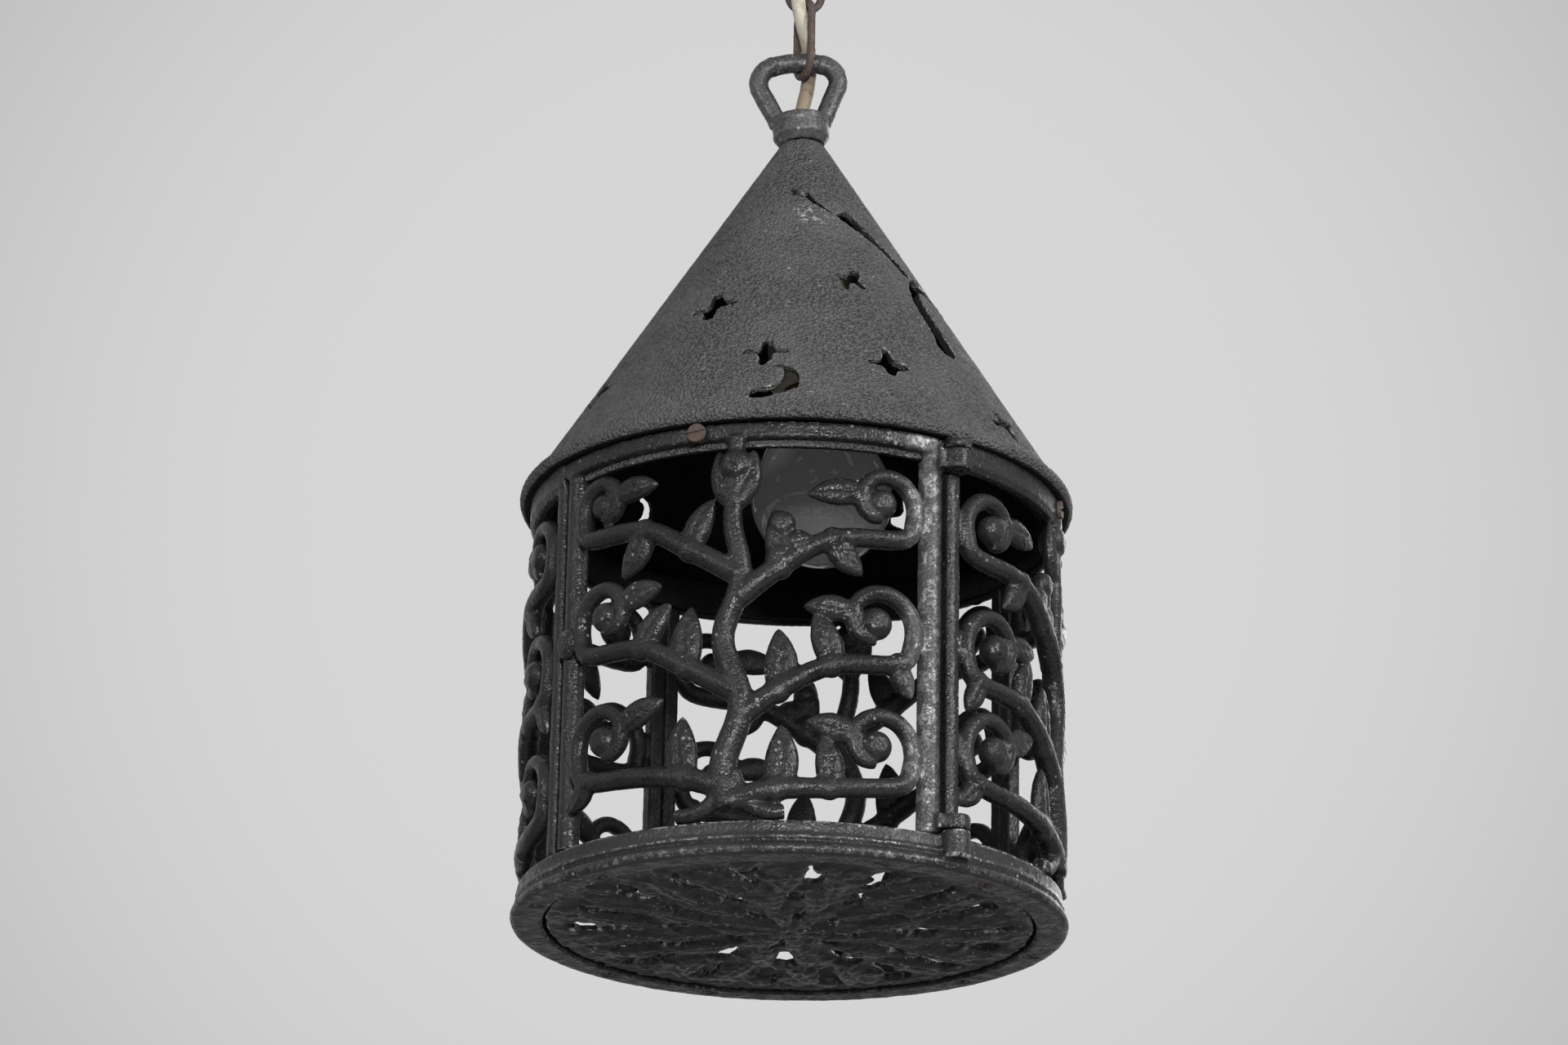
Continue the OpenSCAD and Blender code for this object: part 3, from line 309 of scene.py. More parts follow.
def edge_wear_group():
    """Where edges and ridges are rubbed bare, and where the surface is hollow"""
    tree, given, out = new_group("edge wear",
        [("Place", "NodeSocketVector", (0, 0, 0)), ("Edge", "NodeSocketFloat", 0.53), ("Soft", "NodeSocketFloat", 0.03),
            ("Speckle", "NodeSocketFloat", 0.56)],
        [("Bare", "NodeSocketFloat"), ("Hollow", "NodeSocketFloat")])
    place = given.outputs["Place"]
    bend = tree.nodes.new("ShaderNodeNewGeometry").outputs["Pointiness"]
    edge_end = math_node(tree, "ADD", given.outputs["Edge"], given.outputs["Soft"])
    edge = ramp(tree, bend, given.outputs["Edge"], edge_end)
    broken = noise(tree, place, 330.0, 5.0, 0.7)
    specks = ramp(tree, broken, given.outputs["Speckle"], math_node(tree, "ADD", given.outputs["Speckle"], 0.07))
    region = ramp(tree, noise(tree, place, 28.0, 2.0, 0.5), 0.4, 0.62, 0.25, 1.0)
    bare = math_node(tree, "MULTIPLY", math_node(tree, "MULTIPLY", edge, specks), region, clamp=True)
    tree.links.new(bare, out.inputs["Bare"])
    tree.links.new(ramp(tree, bend, 0.44, 0.5, 1.0, 0.0), out.inputs["Hollow"])
    return tree


def rust_group():
    """Patches of brown rust with finer spots round them, as a mask and a colour"""
    tree, given, out = new_group("rust patches",
        [("Place", "NodeSocketVector", (0, 0, 0)), ("Amount", "NodeSocketFloat", 0.5),
            ("Size", "NodeSocketFloat", 120.0)],
        [("Mask", "NodeSocketFloat"), ("Color", "NodeSocketColor")])
    place = given.outputs["Place"]
    patch = noise(tree, place, given.outputs["Size"], 6.0, 0.7)
    level = math_node(tree, "SUBTRACT", 1.0, given.outputs["Amount"])
    mask = ramp(tree, patch, level, math_node(tree, "ADD", level, 0.12))
    tint = noise(tree, place, 520.0, 3.0, 0.6)
    colour = mixed(tree, tint, (0.05, 0.034, 0.031, 1), (0.12, 0.082, 0.066, 1))
    tree.links.new(mask, out.inputs["Mask"])
    tree.links.new(colour, out.inputs["Color"])
    return tree


def group_node(tree, group, values):
    node = add(tree, "ShaderNodeGroup", node_tree=group)
    for name, value in values.items():
        if isinstance(value, bpy.types.NodeSocket):
            tree.links.new(value, node.inputs[name])
        else:
            node.inputs[name].default_value = value
    return node


def new_material(name):
    material = bpy.data.materials.new(name)
    material.use_nodes = True
    tree = material.node_tree
    shader = tree.nodes["Principled BSDF"]
    place = tree.nodes.new("ShaderNodeTexCoord").outputs["Object"]
    return material, tree, shader, place


def bump(tree, shader, height, distance, strength=1.0):
    made = add(tree, "ShaderNodeBump", {"Height": height, "Distance": distance, "Strength": strength})
    tree.links.new(made.outputs["Normal"], shader.inputs["Normal"])


# Materials

def inside_mask(tree, place, full, none):
    """One on faces that look in towards the lantern's axis, zero on those that look out.
    full and none are the outward looks, from -1 to 1, at which it ends"""
    normal = tree.nodes.new("ShaderNodeTexCoord").outputs["Normal"]
    flat = add(tree, "ShaderNodeVectorMath", {0: place, 1: (1, 1, 0)}, operation="MULTIPLY").outputs[0]
    ray = add(tree, "ShaderNodeVectorMath", {0: flat}, operation="NORMALIZE").outputs[0]
    facing = add(tree, "ShaderNodeVectorMath", {0: ray, 1: normal}, operation="DOT_PRODUCT").outputs["Value"]
    return ramp(tree, facing, full, none, 1.0, 0.0)


def iron(name, groups, dark, pale, grain=900.0, grain_depth=0.5, pit_depth=0.5, depth=0.16, dust=0.45,
        wear=0.53, speckle=0.53, bare=0.42, flecks=0.5, rust=0.24, rough=(0.26, 0.46), gloss=0.3,
        inside_shade=0.7, inside_shade_span=(-0.45, 0.0), rubbed=None):
    """Old blackened iron: dark skin with paler dust, bare specks on its edges, a little rust, pale flecks that are
    partly painted glints, and painted shade on faces that look in.
    rubbed is a place, and the axes that count, where the skin is painted paler as a painted sheen and worn through in
    spots"""
    material, tree, shader, place = new_material(name)
    skin = group_node(tree, groups["skin"], {"Place": place, "Grain": grain, "Grain Depth": grain_depth,
        "Pit Depth": pit_depth})
    worn = group_node(tree, groups["wear"], {"Place": place, "Edge": wear, "Soft": 0.04, "Speckle": speckle})
    rusty = group_node(tree, groups["rust"], {"Place": place, "Amount": rust, "Size": 90.0})
    cloud = ramp(tree, noise(tree, place, 22.0, 5.0, 0.62), 0.36, 0.66)
    colour = mixed(tree, cloud, grey(dark), grey(pale))
    tops = math_node(tree, "MULTIPLY", skin.outputs["Grains"], dust)
    colour = mixed(tree, tops, colour, grey(pale * 1.5))
    # Darker and a little warmer in the hollows
    colour = mixed(tree, math_node(tree, "MULTIPLY", worn.outputs["Hollow"], 0.7), colour, grey(dark * 0.45, 0.06))
    colour = mixed(tree, math_node(tree, "MULTIPLY", skin.outputs["Pits"], 0.75), colour, grey(dark * 0.4))
    colour = mixed(tree, math_node(tree, "MULTIPLY", rusty.outputs["Mask"], 0.6), colour, rusty.outputs["Color"])
    # Pale flecks: partly bare spots, partly painted glints
    colour = mixed(tree, math_node(tree, "MULTIPLY", skin.outputs["Flecks"], flecks), colour, grey(bare * 0.6, 0.03))
    bared = worn.outputs["Bare"]
    if rubbed:
        middle, axes, paler, spotted = rubbed
        flat = add(tree, "ShaderNodeVectorMath", {0: place, 1: axes}, operation="MULTIPLY").outputs[0]
        near = add(tree, "ShaderNodeVectorMath", {0: flat, 1: middle}, operation="DISTANCE").outputs["Value"]
        near = ramp(tree, near, 0.004, 0.0105, 1.0, 0.0)
        # Painted sheen: the strip round that place is painted paler, standing for the sheen of light on it; the spots
        # below are real wear, worn through to bare metal
        colour = mixed(tree, math_node(tree, "MULTIPLY", near, paler), colour, grey(pale * 3.5))
        spots = ramp(tree, noise(tree, place, 260.0, 5.0, 0.7), 0.5, 0.58)
        spots = math_node(tree, "MULTIPLY", math_node(tree, "MULTIPLY", spots, near), spotted)
        bared = math_node(tree, "MAXIMUM", bared, spots)
    colour = mixed(tree, bared, colour, grey(bare, 0.02))
    # Painted shade: faces that look in towards the lantern's axis, and the walls of holes, are painted darker and
    # rougher, where shade falls inside the lantern
    inside = math_node(tree, "MULTIPLY", inside_mask(tree, place, *inside_shade_span), inside_shade)
    colour = mixed(tree, inside, colour, grey(dark * 0.3, 0.04))
    tree.links.new(colour, shader.inputs["Base Color"])
    roughness = ramp(tree, noise(tree, place, 160.0, 4.0, 0.6), 0.35, 0.65, rough[0], rough[1])
    shine = math_node(tree, "SUBTRACT", roughness, math_node(tree, "MULTIPLY", bared, 0.12))
    shine = math_node(tree, "ADD", shine, math_node(tree, "MULTIPLY", inside, 0.35), clamp=True)
    tree.links.new(shine, shader.inputs["Roughness"])
    tree.links.new(math_node(tree, "MULTIPLY", bared, 0.8), shader.inputs["Metallic"])
    shader.inputs["Specular IOR Level"].default_value = gloss
    bump(tree, shader, skin.outputs["Height"], depth * mm)
    return material


def rusty_steel(name, groups, rust=0.62, depth=0.12):
    """Forged wire and screws, brown and purple with rust and rubbed bright in spots"""
    material, tree, shader, place = new_material(name)
    skin = group_node(tree, groups["skin"], {"Place": place, "Grain": 1500.0, "Grain Depth": 0.6, "Pit Depth": 0.8})
    worn = group_node(tree, groups["wear"], {"Place": place, "Edge": 0.54, "Soft": 0.06, "Speckle": 0.5})
    rusty = group_node(tree, groups["rust"], {"Place": place, "Amount": rust, "Size": 160.0})
    colour = mixed(tree, noise(tree, place, 60.0, 4.0, 0.6), (0.06, 0.05, 0.052, 1), (0.12, 0.095, 0.092, 1))
    colour = mixed(tree, rusty.outputs["Mask"], colour, rusty.outputs["Color"])
    colour = mixed(tree, math_node(tree, "MULTIPLY", worn.outputs["Bare"], 0.8), colour, (0.42, 0.38, 0.36, 1))
    tree.links.new(colour, shader.inputs["Base Color"])
    rough = ramp(tree, rusty.outputs["Mask"], 0.0, 1.0, 0.45, 0.8)
    tree.links.new(rough, shader.inputs["Roughness"])
    bump(tree, shader, skin.outputs["Height"], depth * mm)
    return material


def plain_steel(name, groups):
    """Dull turned steel of the tube and its nuts"""
    material, tree, shader, place = new_material(name)
    streaks = add(tree, "ShaderNodeMapping", {"Vector": place, "Scale": (60.0, 60.0, 1400.0)}).outputs["Vector"]
    threads = noise(tree, streaks, 1.0, 2.0, 0.5)
    rusty = group_node(tree, groups["rust"], {"Place": place, "Amount": 0.42, "Size": 140.0})
    colour = mixed(tree, threads, (0.2, 0.19, 0.17, 1), (0.42, 0.4, 0.36, 1))
    colour = mixed(tree, rusty.outputs["Mask"], colour, rusty.outputs["Color"])
    tree.links.new(colour, shader.inputs["Base Color"])
    tree.links.new(ramp(tree, rusty.outputs["Mask"], 0.0, 1.0, 0.38, 0.75), shader.inputs["Roughness"])
    shader.inputs["Metallic"].default_value = 0.8
    bump(tree, shader, threads, 0.1 * mm, 0.6)
    return material


def plastic(name, dark, pale, rough=0.4):
    """Moulded plastic with a faint mottle and dust"""
    material, tree, shader, place = new_material(name)
    dust = ramp(tree, noise(tree, place, 70.0, 5.0, 0.65), 0.4, 0.7)
    tree.links.new(mixed(tree, dust, dark, pale), shader.inputs["Base Color"])
    tree.links.new(ramp(tree, dust, 0.0, 1.0, rough, rough + 0.2), shader.inputs["Roughness"])
    bump(tree, shader, noise(tree, place, 900.0, 3.0, 0.5), 0.04 * mm, 0.6)
    return material


def cord_cover():
    """Old cream flex, beige and grimy lower down, with dark smudges"""
    material, tree, shader, place = new_material("cord_cover")
    height = add(tree, "ShaderNodeSeparateXYZ", {"Vector": place}).outputs["Z"]
    lower = ramp(tree, height, -0.105, -0.085, 1.0, 0.0)
    colour = mixed(tree, lower, (0.62, 0.58, 0.46, 1), (0.3, 0.235, 0.175, 1))
    mottle = noise(tree, place, 130.0, 4.0, 0.6)
    colour = mixed(tree, ramp(tree, mottle, 0.45, 0.7, 0.0, 0.5), colour, (0.2, 0.16, 0.125, 1))
    smudge = ramp(tree, noise(tree, place, 340.0, 4.0, 0.7), 0.6, 0.68, 0.0, 0.85)
    colour = mixed(tree, smudge, colour, (0.05, 0.04, 0.035, 1))
    tree.links.new(colour, shader.inputs["Base Color"])
    tree.links.new(ramp(tree, mottle, 0.3, 0.7, 0.4, 0.6), shader.inputs["Roughness"])
    bump(tree, shader, mottle, 0.12 * mm, 0.7)
    return material


def frosted_glass():
    """Grey frosted globe with dust on it, and a faint even painted glow that stands for light coming through the
    frosting
    """
    material, tree, shader, place = new_material("grey_glass")
    film = ramp(tree, noise(tree, place, 34.0, 4.0, 0.6), 0.35, 0.7)
    colour = mixed(tree, film, grey(0.11), grey(0.14, 0.02))
    tree.links.new(colour, shader.inputs["Base Color"])
    tree.links.new(ramp(tree, film, 0.0, 1.0, 0.6, 0.75), shader.inputs["Roughness"])
    shader.inputs["Specular IOR Level"].default_value = 0.1
    shader.inputs["Coat Weight"].default_value = 0.8
    shader.inputs["Coat Roughness"].default_value = 0.05
    # Painted glow: the lamp is off, and this faint emission stands for light coming through the frosted glass
    shader.inputs["Emission Color"].default_value = grey(0.6)
    shader.inputs["Emission Strength"].default_value = 0.05
    return material


def ceramic():
    material, tree, shader, place = new_material("white_ceramic")
    tint = noise(tree, place, 90.0, 4.0, 0.6)
    tree.links.new(mixed(tree, tint, (0.72, 0.7, 0.64, 1), (0.85, 0.84, 0.8, 1)), shader.inputs["Base Color"])
    shader.inputs["Roughness"].default_value = 0.25
    return material


def brass():
    material, tree, shader, place = new_material("brass")
    tarnish = ramp(tree, noise(tree, place, 120.0, 5.0, 0.65), 0.4, 0.7)
    tree.links.new(mixed(tree, tarnish, (0.55, 0.42, 0.2, 1), (0.2, 0.14, 0.08, 1)), shader.inputs["Base Color"])
    tree.links.new(ramp(tree, tarnish, 0.0, 1.0, 0.32, 0.6), shader.inputs["Roughness"])
    shader.inputs["Metallic"].default_value = 0.9
    return material


def make_materials():
    groups = {"skin": cast_grain_group(), "wear": edge_wear_group(), "rust": rust_group()}
    black, dusty = grey(0.012), grey(0.05, 0.05)
    return {
        # Cast iron gets a painted sheen, a paler strip, along the hinge stile, and worn spots there
        "cast_iron": iron("cast_iron", groups, 0.008, 0.021, bare=0.5, depth=0.24, flecks=0.8,
            rough=(0.2, 0.42), rubbed=((0.0701, -0.0835, 0), (1, 1, 0), 0.8, 0.35)),
        "base_iron": iron("base_iron", groups, 0.009, 0.03, depth=0.24, wear=0.515, speckle=0.48, bare=0.6, flecks=0.9,
            rough=(0.2, 0.42)),
        # The roof gets strong painted shade on its underside and on the walls of its holes
        "roof_iron": iron("roof_iron", groups, 0.034, 0.105, grain=980.0, grain_depth=2.4, pit_depth=0.9,
            depth=0.5, dust=0.9, wear=0.515, speckle=0.5, bare=0.5, flecks=0.9, rust=0.27, rough=(0.5, 0.72),
            inside_shade=0.97, inside_shade_span=(0.15, 0.5), rubbed=((0.0132, -0.0377, -0.1942), (1, 1, 1), 0.0, 1.0)),
        "worn_iron": iron("worn_iron", groups, 0.022, 0.09, speckle=0.46, wear=0.52, bare=0.65, flecks=1.0,
            rust=0.36, gloss=0.5),
        "rusty_steel": rusty_steel("rusty_steel", groups),
        "plain_steel": plain_steel("plain_steel", groups),
        "black_paint": iron("black_paint", groups, 0.03, 0.045, grain_depth=0.1, pit_depth=0.1, wear=0.6),
        "black_plastic": plastic("black_plastic", black, dusty),
        "pale_plastic": plastic("pale_plastic", (0.6, 0.56, 0.47, 1), (0.72, 0.68, 0.58, 1)),
        "cord_cover": cord_cover(),
        "white_ceramic": ceramic(),
        "brass": brass(),
        "grey_glass": frosted_glass(),
    }


# Cast and forged pieces

def rough_texture(name, size, depth=2):
    """Slow lumps for a displacement"""
    texture = bpy.data.textures.new(name, "CLOUDS")
    texture.noise_scale = size
    texture.noise_depth = depth
    return texture


def cast(piece, voxel, lump=0.25, lump_size=4.0, passes=2, keep=1.0):
    """Rounds the edges of a piece and gives it the uneven skin of a casting"""
    apply_modifier(piece, "REMESH", mode="VOXEL", voxel_size=voxel * mm)
    apply_modifier(piece, "SMOOTH", factor=0.5, iterations=passes)
    if keep < 1:
        apply_modifier(piece, "DECIMATE", ratio=keep)
    apply_modifier(piece, "DISPLACE", texture=rough_texture(piece.name + " lumps", lump_size * mm),
        texture_coords="LOCAL", strength=lump * mm, mid_level=0.5)
    only(piece)
    bpy.ops.object.shade_smooth()


def cast_piece(node, material, voxel, lump=0.25, lump_size=4.0, passes=2, keep=1.0, extra=()):
    """The node's solid as a casting, joined with any extra pieces"""
    piece = copy_of(node, node + "_cast")
    if extra:
        piece = joined(node + "_cast", [piece, *extra])
    cast(piece, voxel, lump, lump_size, passes, keep)
    finish_piece(piece, node, material)


def finish_piece(piece, node, material, slot=None):
    """Gives a piece its material and its body, and hides the solid that it stands for"""
    piece.data.materials.clear()
    piece.data.materials.append(materials[material])
    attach(piece, body_of[node])
    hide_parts(node)
    slot or slot_of[node]


def dress(node, material):
    """A node that stays as it is gets its finish"""
    solid = nodes[node]
    solid.data.materials.clear()
    solid.data.materials.append(materials[material])


# Openwork of the panels: stems, leaves and berries modelled flat, then laid round the cage.
# Flat places are millimetres: along the face, height above the ring's underside, rod radius.

work_r = ring_r / mm - 5.2
work_low, work_top = 14.6, 174.5
trunk_r, branch_r = 5.6, 4.0
skirt_room_r, skirt_room_z = 108.5, 171.0


def up(share):
    """Height at a share of the openwork's height"""
    return work_low + share * (work_top - work_low)


def smooth_line(points, steps=6):
    """Points on the smooth curve through those given"""
    line = []
    for i in range(len(points) - 1):
        a, b, c, d = (Vector(points[max(min(k, len(points) - 1), 0)]) for k in (i - 1, i, i + 1, i + 2))
        for step in range(steps):
            t = step / steps
            line.append(0.5 * (2 * b + (c - a) * t + (2 * a - 5 * b + 4 * c - d) * t ** 2
                + (3 * b - a - 3 * c + d) * t ** 3))
    return line + [Vector(points[-1])]


def rods(name, lines):
    """Round rods along flat lines, as one mesh"""
    bpy.ops.curve.primitive_nurbs_path_add()
    curve = bpy.context.object
    curve.name = name
    curve.data.splines.clear()
    for line in lines:
        spline = curve.data.splines.new("POLY")
        spline.points.add(len(line) - 1)
        for point, (u, v, r) in zip(spline.points, line):
            point.co = (u * mm, 0, v * mm, 1)
            point.radius = r
    curve.data.bevel_depth = mm
    curve.data.bevel_resolution = 4
    curve.data.use_fill_caps = True
    only(curve)
    bpy.ops.object.convert(target="MESH")
    return bpy.context.object


def reshape(piece, move):
    """Moves every vertex to the place that move gives for its own"""
    for vertex in piece.data.vertices:
        vertex.co = move(vertex.co)
    piece.data.update()


def leaf_pattern():
    """The leaf that all the others are copied from, with a midrib and veins: along, across and outwards
    as shares of its length, width and thickness"""
    bpy.ops.mesh.primitive_uv_sphere_add(segments=28, ring_count=22, radius=1)

    def move(co):
        t = (1 + co.z) / 2
        ring = sqrt(max(1 - co.z ** 2, 1e-9))
        across, outwards = (co.x / ring, co.y / ring) if ring > 1e-3 else (0, 0)
        depth = sin(pi * (0.2 + 0.8 * t)) ** 0.5
        if outwards > 0:
            rib = 0.32 * 2.718 ** (-(across / 0.13) ** 2)
            vein = 0.1 * cos(2 * pi * (5 * t - 1.3 * abs(across))) * (1 - across ** 2)
            depth *= 1 - rib + vein
        return Vector((t * 1.08 - 0.08, 0.5 * across * sin(pi * (0.12 + 0.88 * t)) ** 0.75, depth * outwards))

    reshape(bpy.context.object, move)
    return bpy.context.object


def berry_pattern():
    """The round boss that the berries are copied from, pressed in a little at its middle"""
    bpy.ops.mesh.primitive_uv_sphere_add(segments=28, ring_count=20, radius=1)

    def move(co):
        dimple = 0.18 * 2.718 ** (-7 * (co.x ** 2 + co.z ** 2)) if co.y < 0 else 0
        return Vector((co.x, 0.9 * co.y + dimple, co.z))

    reshape(bpy.context.object, move)
    return bpy.context.object


def pattern_copy(pattern, move):
    """A copy of a pattern with its own mesh, moved and bent to its place"""
    piece = pattern.copy()
    piece.data = pattern.data.copy()
    bpy.context.scene.collection.objects.link(piece)
    reshape(piece, move)
    return piece


def leaf(length, width, thick, place, bend=14):
    """A cushioned leaf. place takes (along, across, outwards) in millimetres"""
    def move(co):
        turn = radians(bend * co.x)
        return place(length * co.x * cos(turn) - width * co.y * sin(turn),
            length * co.x * sin(turn) + width * co.y * cos(turn), thick * co.z)
    return pattern_copy(patterns["leaf"], move)


def face_leaf(u, v, angle, length, width, side=1, thick=3.4):
    turn = radians(angle)

    def place(along, across, outwards):
        return Vector(((side * (u + along * cos(turn) - across * sin(turn))) * mm, -outwards * mm,
            (v + along * sin(turn) + across * cos(turn)) * mm))
    return leaf(length, width, thick, place)


def berry(u, v, r, side=1):
    return pattern_copy(patterns["berry"],
        lambda co: Vector(((side * u + r * co.x) * mm, r * co.y * mm, (v + r * co.z) * mm)))


def curl(centre, r0, r1, a0, a1, n, w0, w1):
    places = []
    for i in range(n + 1):
        t = i / n
        r, a = r0 + (r1 - r0) * t, radians(a0 + (a1 - a0) * t)
        places.append((centre[0] + r * cos(a), centre[1] + r * sin(a), w0 + (w1 - w0) * t))
    return places


def bough(half, start, v0, curl_r, side, leaves):
    """A branch that sweeps out to the stile and curls in round a berry"""
    reach = half - branch_r * 0.6
    centre = (reach - curl_r, v0)
    line = [(start[0], start[1], branch_r * 1.25),
        (reach * 0.24, start[1] + (v0 - curl_r - start[1]) * 0.42 + 2, branch_r * 1.15),
        (reach * 0.52, v0 - curl_r * 1.02, branch_r * 1.05)]
    line += curl(centre, curl_r, curl_r * 0.34, -58, 270, 9, branch_r, branch_r * 0.74)
    pieces = [berry(*centre, curl_r * 0.24 + 2.2, side)]
    for point, angle, length, width in leaves:
        u, v, r = line[point]
        pieces += [face_leaf(u, v, angle, length, width, side), berry(u, v, r * 1.22, side)]
    return smooth_line([(side * u, v, r) for u, v, r in line]), pieces


def openwork(half, side, stands):
    """The flat openwork of a panel, as pieces"""
    top = 173.3 if stands else 175.5
    trunk = [(0, up(0.02) + 2, trunk_r), (-3, up(0.14), trunk_r), (4, up(0.3), trunk_r * 0.94),
        (-4, up(0.47), trunk_r * 0.86), (3, up(0.63), trunk_r * 0.8), (-1, up(0.78), trunk_r * 0.72),
        (0, up(0.9), trunk_r * 0.62), (0, top, trunk_r * 0.7)]
    lines = [smooth_line([(side * u, v, r) for u, v, r in trunk])]
    for foot in (-1, 1):
        lines.append(smooth_line([(0, up(0.12), trunk_r * 0.8), (foot * 6, up(0.05), 3.8),
            (foot * 14, work_low + 3.4, 3.4), (foot * 22, work_low + 3.2, 3)]))
    boughs = [
        ((0, up(0.05)), up(0.2), 18, 1, [(1, 72, 27, 14), (2, 84, 22, 12), (9, 150, 20, 12)]),
        ((0, up(0.08)), up(0.25), 18, -1, [(1, 72, 26, 14), (9, 140, 22, 12), (3, -60, 15, 10)]),
        ((2, up(0.26)), up(0.52), 18.5, side, [(1, 76, 26, 14), (2, 94, 23, 13), (9, 160, 20, 11), (3, -80, 15, 10)]),
        ((-2, up(0.33)), up(0.58), 17, -side, [(1, 78, 26, 14), (2, 112, 22, 12), (9, 150, 20, 12)]),
        ((2, up(0.58)), up(0.84), 16.5, side, [(1, 82, 25, 13), (9, 170, 22, 12), (2, -64, 19, 12)]),
        ((-2, up(0.64)), up(0.88), 14.5, -side, [(1, 100, 23, 12), (2, -74, 22, 13), (9, 160, 20, 11)])]
    pieces = []
    for start, v0, curl_r, way, leaves in boughs:
        line, grown = bough(half, start, v0, curl_r, way, leaves)
        lines.append(line)
        pieces += grown
    if stands:
        lines += [[(u, work_low + 5, branch_r * 0.8), (u, work_low + 2, branch_r), (u, 13.9, branch_r * 1.1)]
            for u in (-18, 18)]
    pieces += [face_leaf(0, up(0.83), 58, 24, 12), face_leaf(0, up(0.83), 58, 24, 12, -1), berry(0, up(0.93), 7)]
    pieces += [berry(u, up(share), 5.6, side) for u, share in ((18, 0.68), (26, 0.72), (19, 0.77))]
    return pieces + [rods("stems", lines)]


def lay_round(piece, middle):
    """Takes a flat piece onto the cage's face, clear of the roof's skirt"""
    def move(co):
        azimuth = middle + co.x / (work_r * mm)
        r = work_r * mm - co.y
        if co.z > skirt_room_z * mm:
            r = max(r, skirt_room_r * mm)
        return Vector((r * sin(azimuth), -r * cos(azimuth), base_z + co.z))
    reshape(piece, move)


def panel(name, middle, half, side, stands):
    """A panel's frame and openwork as the one casting that they are"""
    growth = joined(name + "_growth", openwork(half, side, stands))
    lay_round(growth, radians(middle))
    piece = joined(name + "_panel", [copy_of(name + "_frame", name + "_panel"), growth])
    cast(piece, 0.8, 0.3, 3.5)
    finish_piece(piece, name + "_frame", "cast_iron")
    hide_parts(name + "_openwork")


# Bottom plate: tufts of leaves in three rings round a rosette, clear of the grille's own holes

def grille():
    plate_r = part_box("bottom_grille")[1].x / mm
    pieces = [copy_of("bottom_grille", "bottom_plate"), bead(plate_r + 0.1, 1.7, 1.6)]
    disc = ring_r / mm - 14.7

    def under(r, azimuth, tilt, sink=0.0):
        def place(along, across, outwards):
            x = r + along * cos(tilt) - across * sin(tilt)
            y = along * sin(tilt) + across * cos(tilt)
            depth = outwards if outwards > 0 else outwards * 0.5
            return Vector(((x * cos(azimuth) - y * sin(azimuth)) * mm, (x * sin(azimuth) + y * cos(azimuth)) * mm,
                base_z + (1.9 + sink - depth) * mm))
        return place

    for row, (count, foot, tip, width) in enumerate(((8, 0.07, 0.36, 9), (12, 0.31, 0.65, 12), (18, 0.56, 0.95, 12))):
        span = (tip - foot) * disc
        for k in range(count):
            azimuth = 2 * pi * k / count
            way = (-1) ** (k + row)
            pieces.append(leaf(span, width, 3.2, under(foot * disc, azimuth, radians(5 * way)), 12 * way))
            for share, side in ((0.2, way), (0.42, -way), (0.6, way)):
                r = foot * disc + share * span
                room = pi * r / count - width * 0.2
                pieces.append(leaf(min(0.36 * span, 1.25 * room), width * 0.72, 2.6,
                    under(r, azimuth, radians(side * 46), 0.3), 16 * side))
    for k in range(18):
        azimuth = 2 * pi * (k + 0.5) / 18
        size = 4.6 + 0.9 * (k % 3)
        pieces.append(leaf(2.1 * size, 1.9 * size, 2.6, under(0.94 * disc - size, azimuth, radians(30 * k)), 0))
    for k in range(12):
        azimuth = 2 * pi * (k + 0.5) / 12
        pieces.append(leaf(9, 8, 2.6, under(0.6 * disc, azimuth, radians(50 * k)), 0))
    for k in range(6):
        pieces.append(leaf(9.5, 7.5, 3.4, under(1.5, 2 * pi * k / 6, 0), 0))
    piece = joined("bottom_plate", pieces)
    cast(piece, 0.85, 1.3, 5, passes=1)
    finish_piece(piece, "bottom_grille", "base_iron")


def bead(r, z, thick):
    """A thin raised line round the lantern"""
    bpy.ops.mesh.primitive_torus_add(major_segments=240, minor_segments=10, major_radius=r * mm,
        minor_radius=thick * mm, location=(0, 0, local(z)))
    settle(bpy.context.object)
    return bpy.context.object


# Roof: the cast cone with the crack high on its front

cone_foot_r, cone_foot_z, cone_top_r, cone_h = 113.9, 186.5, 9.4, 167.0
crack_azimuth, crack_share = 15, 0.77
crack_line = [(-6.2, 7.4), (-4.6, 7.4), (-3.4, 4.4), (-0.8, 2.5), (1.4, 3.8), (2.6, 1.1), (5, -2.8), (7.4, -5),
    (12.4, -10.2), (6, -6.3), (3.2, -4), (0.4, -0.4), (-1.2, 0.4), (-5.2, 2.6)]


def roof_frame(azimuth, share):
    """Point on the cone's face, with the directions across it, up it and out of it"""
    a, lean = radians(azimuth), atan2(cone_foot_r - cone_top_r, cone_h)
    r = cone_foot_r - (cone_foot_r - cone_top_r) * share
    point = Vector((r * sin(a) * mm, -r * cos(a) * mm, local(cone_foot_z + share * cone_h)))
    return (point, Vector((cos(a), sin(a), 0)), Vector((-sin(a) * sin(lean), cos(a) * sin(lean), cos(lean))),
        Vector((sin(a) * cos(lean), -cos(a) * cos(lean), sin(lean))))


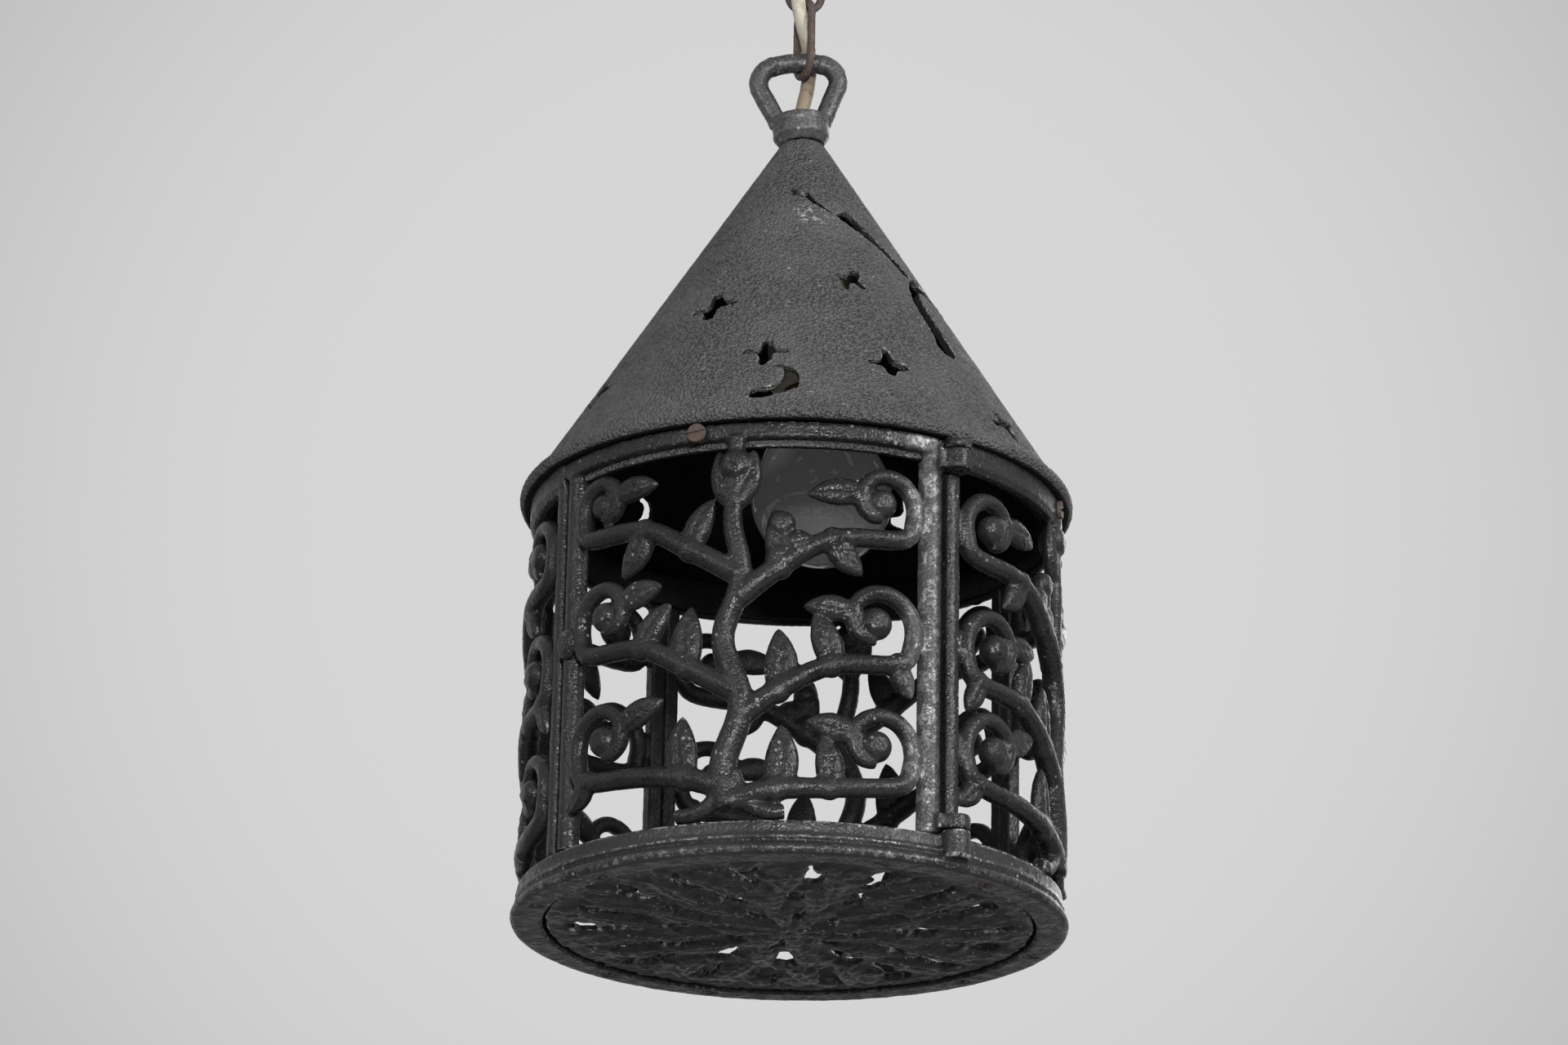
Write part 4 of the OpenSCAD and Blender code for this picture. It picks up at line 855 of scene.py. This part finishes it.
def crack():
    """A sliver of the crack's outline, long enough to go through the roof"""
    point, across, upward, outward = roof_frame(crack_azimuth, crack_share)
    bpy.ops.mesh.primitive_circle_add(vertices=len(crack_line), radius=1, fill_type="NGON")
    sliver = bpy.context.object
    sliver.name = "crack"
    for vertex, (u, v) in zip(sliver.data.vertices, crack_line):
        vertex.co = point + (across * u + upward * v - outward * 8) * mm
    bpy.ops.object.mode_set(mode="EDIT")
    bpy.ops.mesh.select_all(action="SELECT")
    bpy.ops.mesh.extrude_region_move(TRANSFORM_OT_translate={"value": outward * 16 * mm})
    bpy.ops.mesh.select_all(action="SELECT")
    bpy.ops.mesh.normals_make_consistent(inside=False)
    bpy.ops.object.mode_set(mode="OBJECT")
    return sliver


def roof():
    piece = copy_of("roof_cone", "roof_cast")
    cast(piece, 0.65, lump=0.45, lump_size=3, passes=1, keep=0.25)
    sliver = crack()
    apply_modifier(piece, "BOOLEAN", object=sliver, operation="DIFFERENCE", solver="EXACT")
    bpy.data.objects.remove(sliver)
    finish_piece(piece, "roof_cone", "roof_iron")


# Lights, floor and the pale surroundings

def area_light(name, place, target, size, power):
    data = bpy.data.lights.new(name, "AREA")
    data.size = size
    data.energy = power
    lamp = bpy.data.objects.new(name, data)
    bpy.context.scene.collection.objects.link(lamp)
    lamp.location = place
    lamp.rotation_euler = (Vector(target) - Vector(place)).to_track_quat("-Z", "Y").to_euler()


def surroundings():
    world = bpy.data.worlds.new("studio")
    bpy.context.scene.world = world
    world.use_nodes = True
    tree = world.node_tree
    back = tree.nodes["Background"]
    place = tree.nodes.new("ShaderNodeTexCoord").outputs["Generated"]
    height = add(tree, "ShaderNodeSeparateXYZ", {"Vector": place}).outputs["Z"]
    middle = add(tree, "ShaderNodeVectorMath", {0: place, 1: (-sin(camera_turn) * cos(camera_tilt),
        cos(camera_turn) * cos(camera_tilt), sin(camera_tilt))}, operation="DOT_PRODUCT").outputs["Value"]
    shown = mixed(tree, ramp(tree, middle, 0.975, 0.998), grey(0.5), grey(0.67))
    shown = mixed(tree, ramp(tree, height, -0.7, 0.0), grey(0.58), shown)
    seen = add(tree, "ShaderNodeLightPath")
    direct = math_node(tree, "MAXIMUM", seen.outputs["Is Camera Ray"], seen.outputs["Is Transmission Ray"])
    direct = math_node(tree, "MAXIMUM", direct, seen.outputs["Is Glossy Ray"])
    tree.links.new(mixed(tree, direct, grey(0.14), shown), back.inputs["Color"])
    area_light("front", (0.6, -2.05, -0.36), (0, 0, -0.36), 0.28, 28)
    area_light("key", (2.0, -1.0, 0.45), (0, 0, -0.3), 0.9, 32)
    area_light("fill", (-1.2, -2.0, 0.2), (0, 0, -0.35), 0.45, 8)
    area_light("rim", (0.6, 2.4, 0.7), (0, 0, -0.3), 1.2, 10)


def floor():
    bpy.ops.mesh.primitive_circle_add(vertices=64, radius=7, fill_type="NGON", location=(0, 0, -1.7))
    disc = bpy.context.object
    disc.name = "floor"
    material, tree, shader, place = new_material("pale_floor")
    tree.links.new(mixed(tree, noise(tree, place, 0.5), grey(0.55), grey(0.6)), shader.inputs["Base Color"])
    shader.inputs["Roughness"].default_value = 0.9
    disc.data.materials.append(material)


make_camera()
bpy.context.scene.view_settings.view_transform = "Standard"
deselect()
body_of = {node: body for body, members in frame["record"]["behaviour"]["bodies"].items() for node in members}
slot_of = {part["node"]: part["material_slot"] for part in frame["record"]["subparts"]}
materials = make_materials()

make_cord("flex_lower", 0, "cord_lower", materials["cord_cover"])
make_cord("flex_middle", 1, "cord_middle", materials["cord_cover"])
make_cord("flex_upper", 2, "cord_upper", materials["cord_cover"])

roof()
patterns = {"leaf": leaf_pattern(), "berry": berry_pattern()}
cast_piece("base_ring", "base_iron", 0.8, lump=0.35, extra=[bead(ring_r / mm - 2.5, 7.2, 0.9)])
panel("door", 0, 78.4, 1, False)
panel("right", 90.55, 78.9, -1, True)
panel("back", 180, 79.9, 1, True)
panel("left", 269.45, 78.9, 1, True)
grille()
for pattern in patterns.values():
    bpy.data.objects.remove(pattern)
cast_piece("cup_washer", "cast_iron", 0.6)
cast_piece("door_knob", "cast_iron", 0.35, lump=0.15, lump_size=1.5)
cast_piece("hanging_loop", "worn_iron", 0.5, lump=0.5, lump_size=2.5)
for node in ("upper_link", "lower_link", "ceiling_hook"):
    cast_piece(node, "rusty_steel", 0.35, lump=0.25, lump_size=2)
for node in ("roof_screws", "base_screws", "door_screw", "hook_nut", "upper_hinge_pin", "lower_hinge_pin"):
    cast_piece(node, "rusty_steel", 0.22, lump=0.08, lump_size=1, passes=1)
for node, slot in slot_of.items():
    if not nodes[node].hide_render:
        dress(node, slot)

surroundings()
floor()
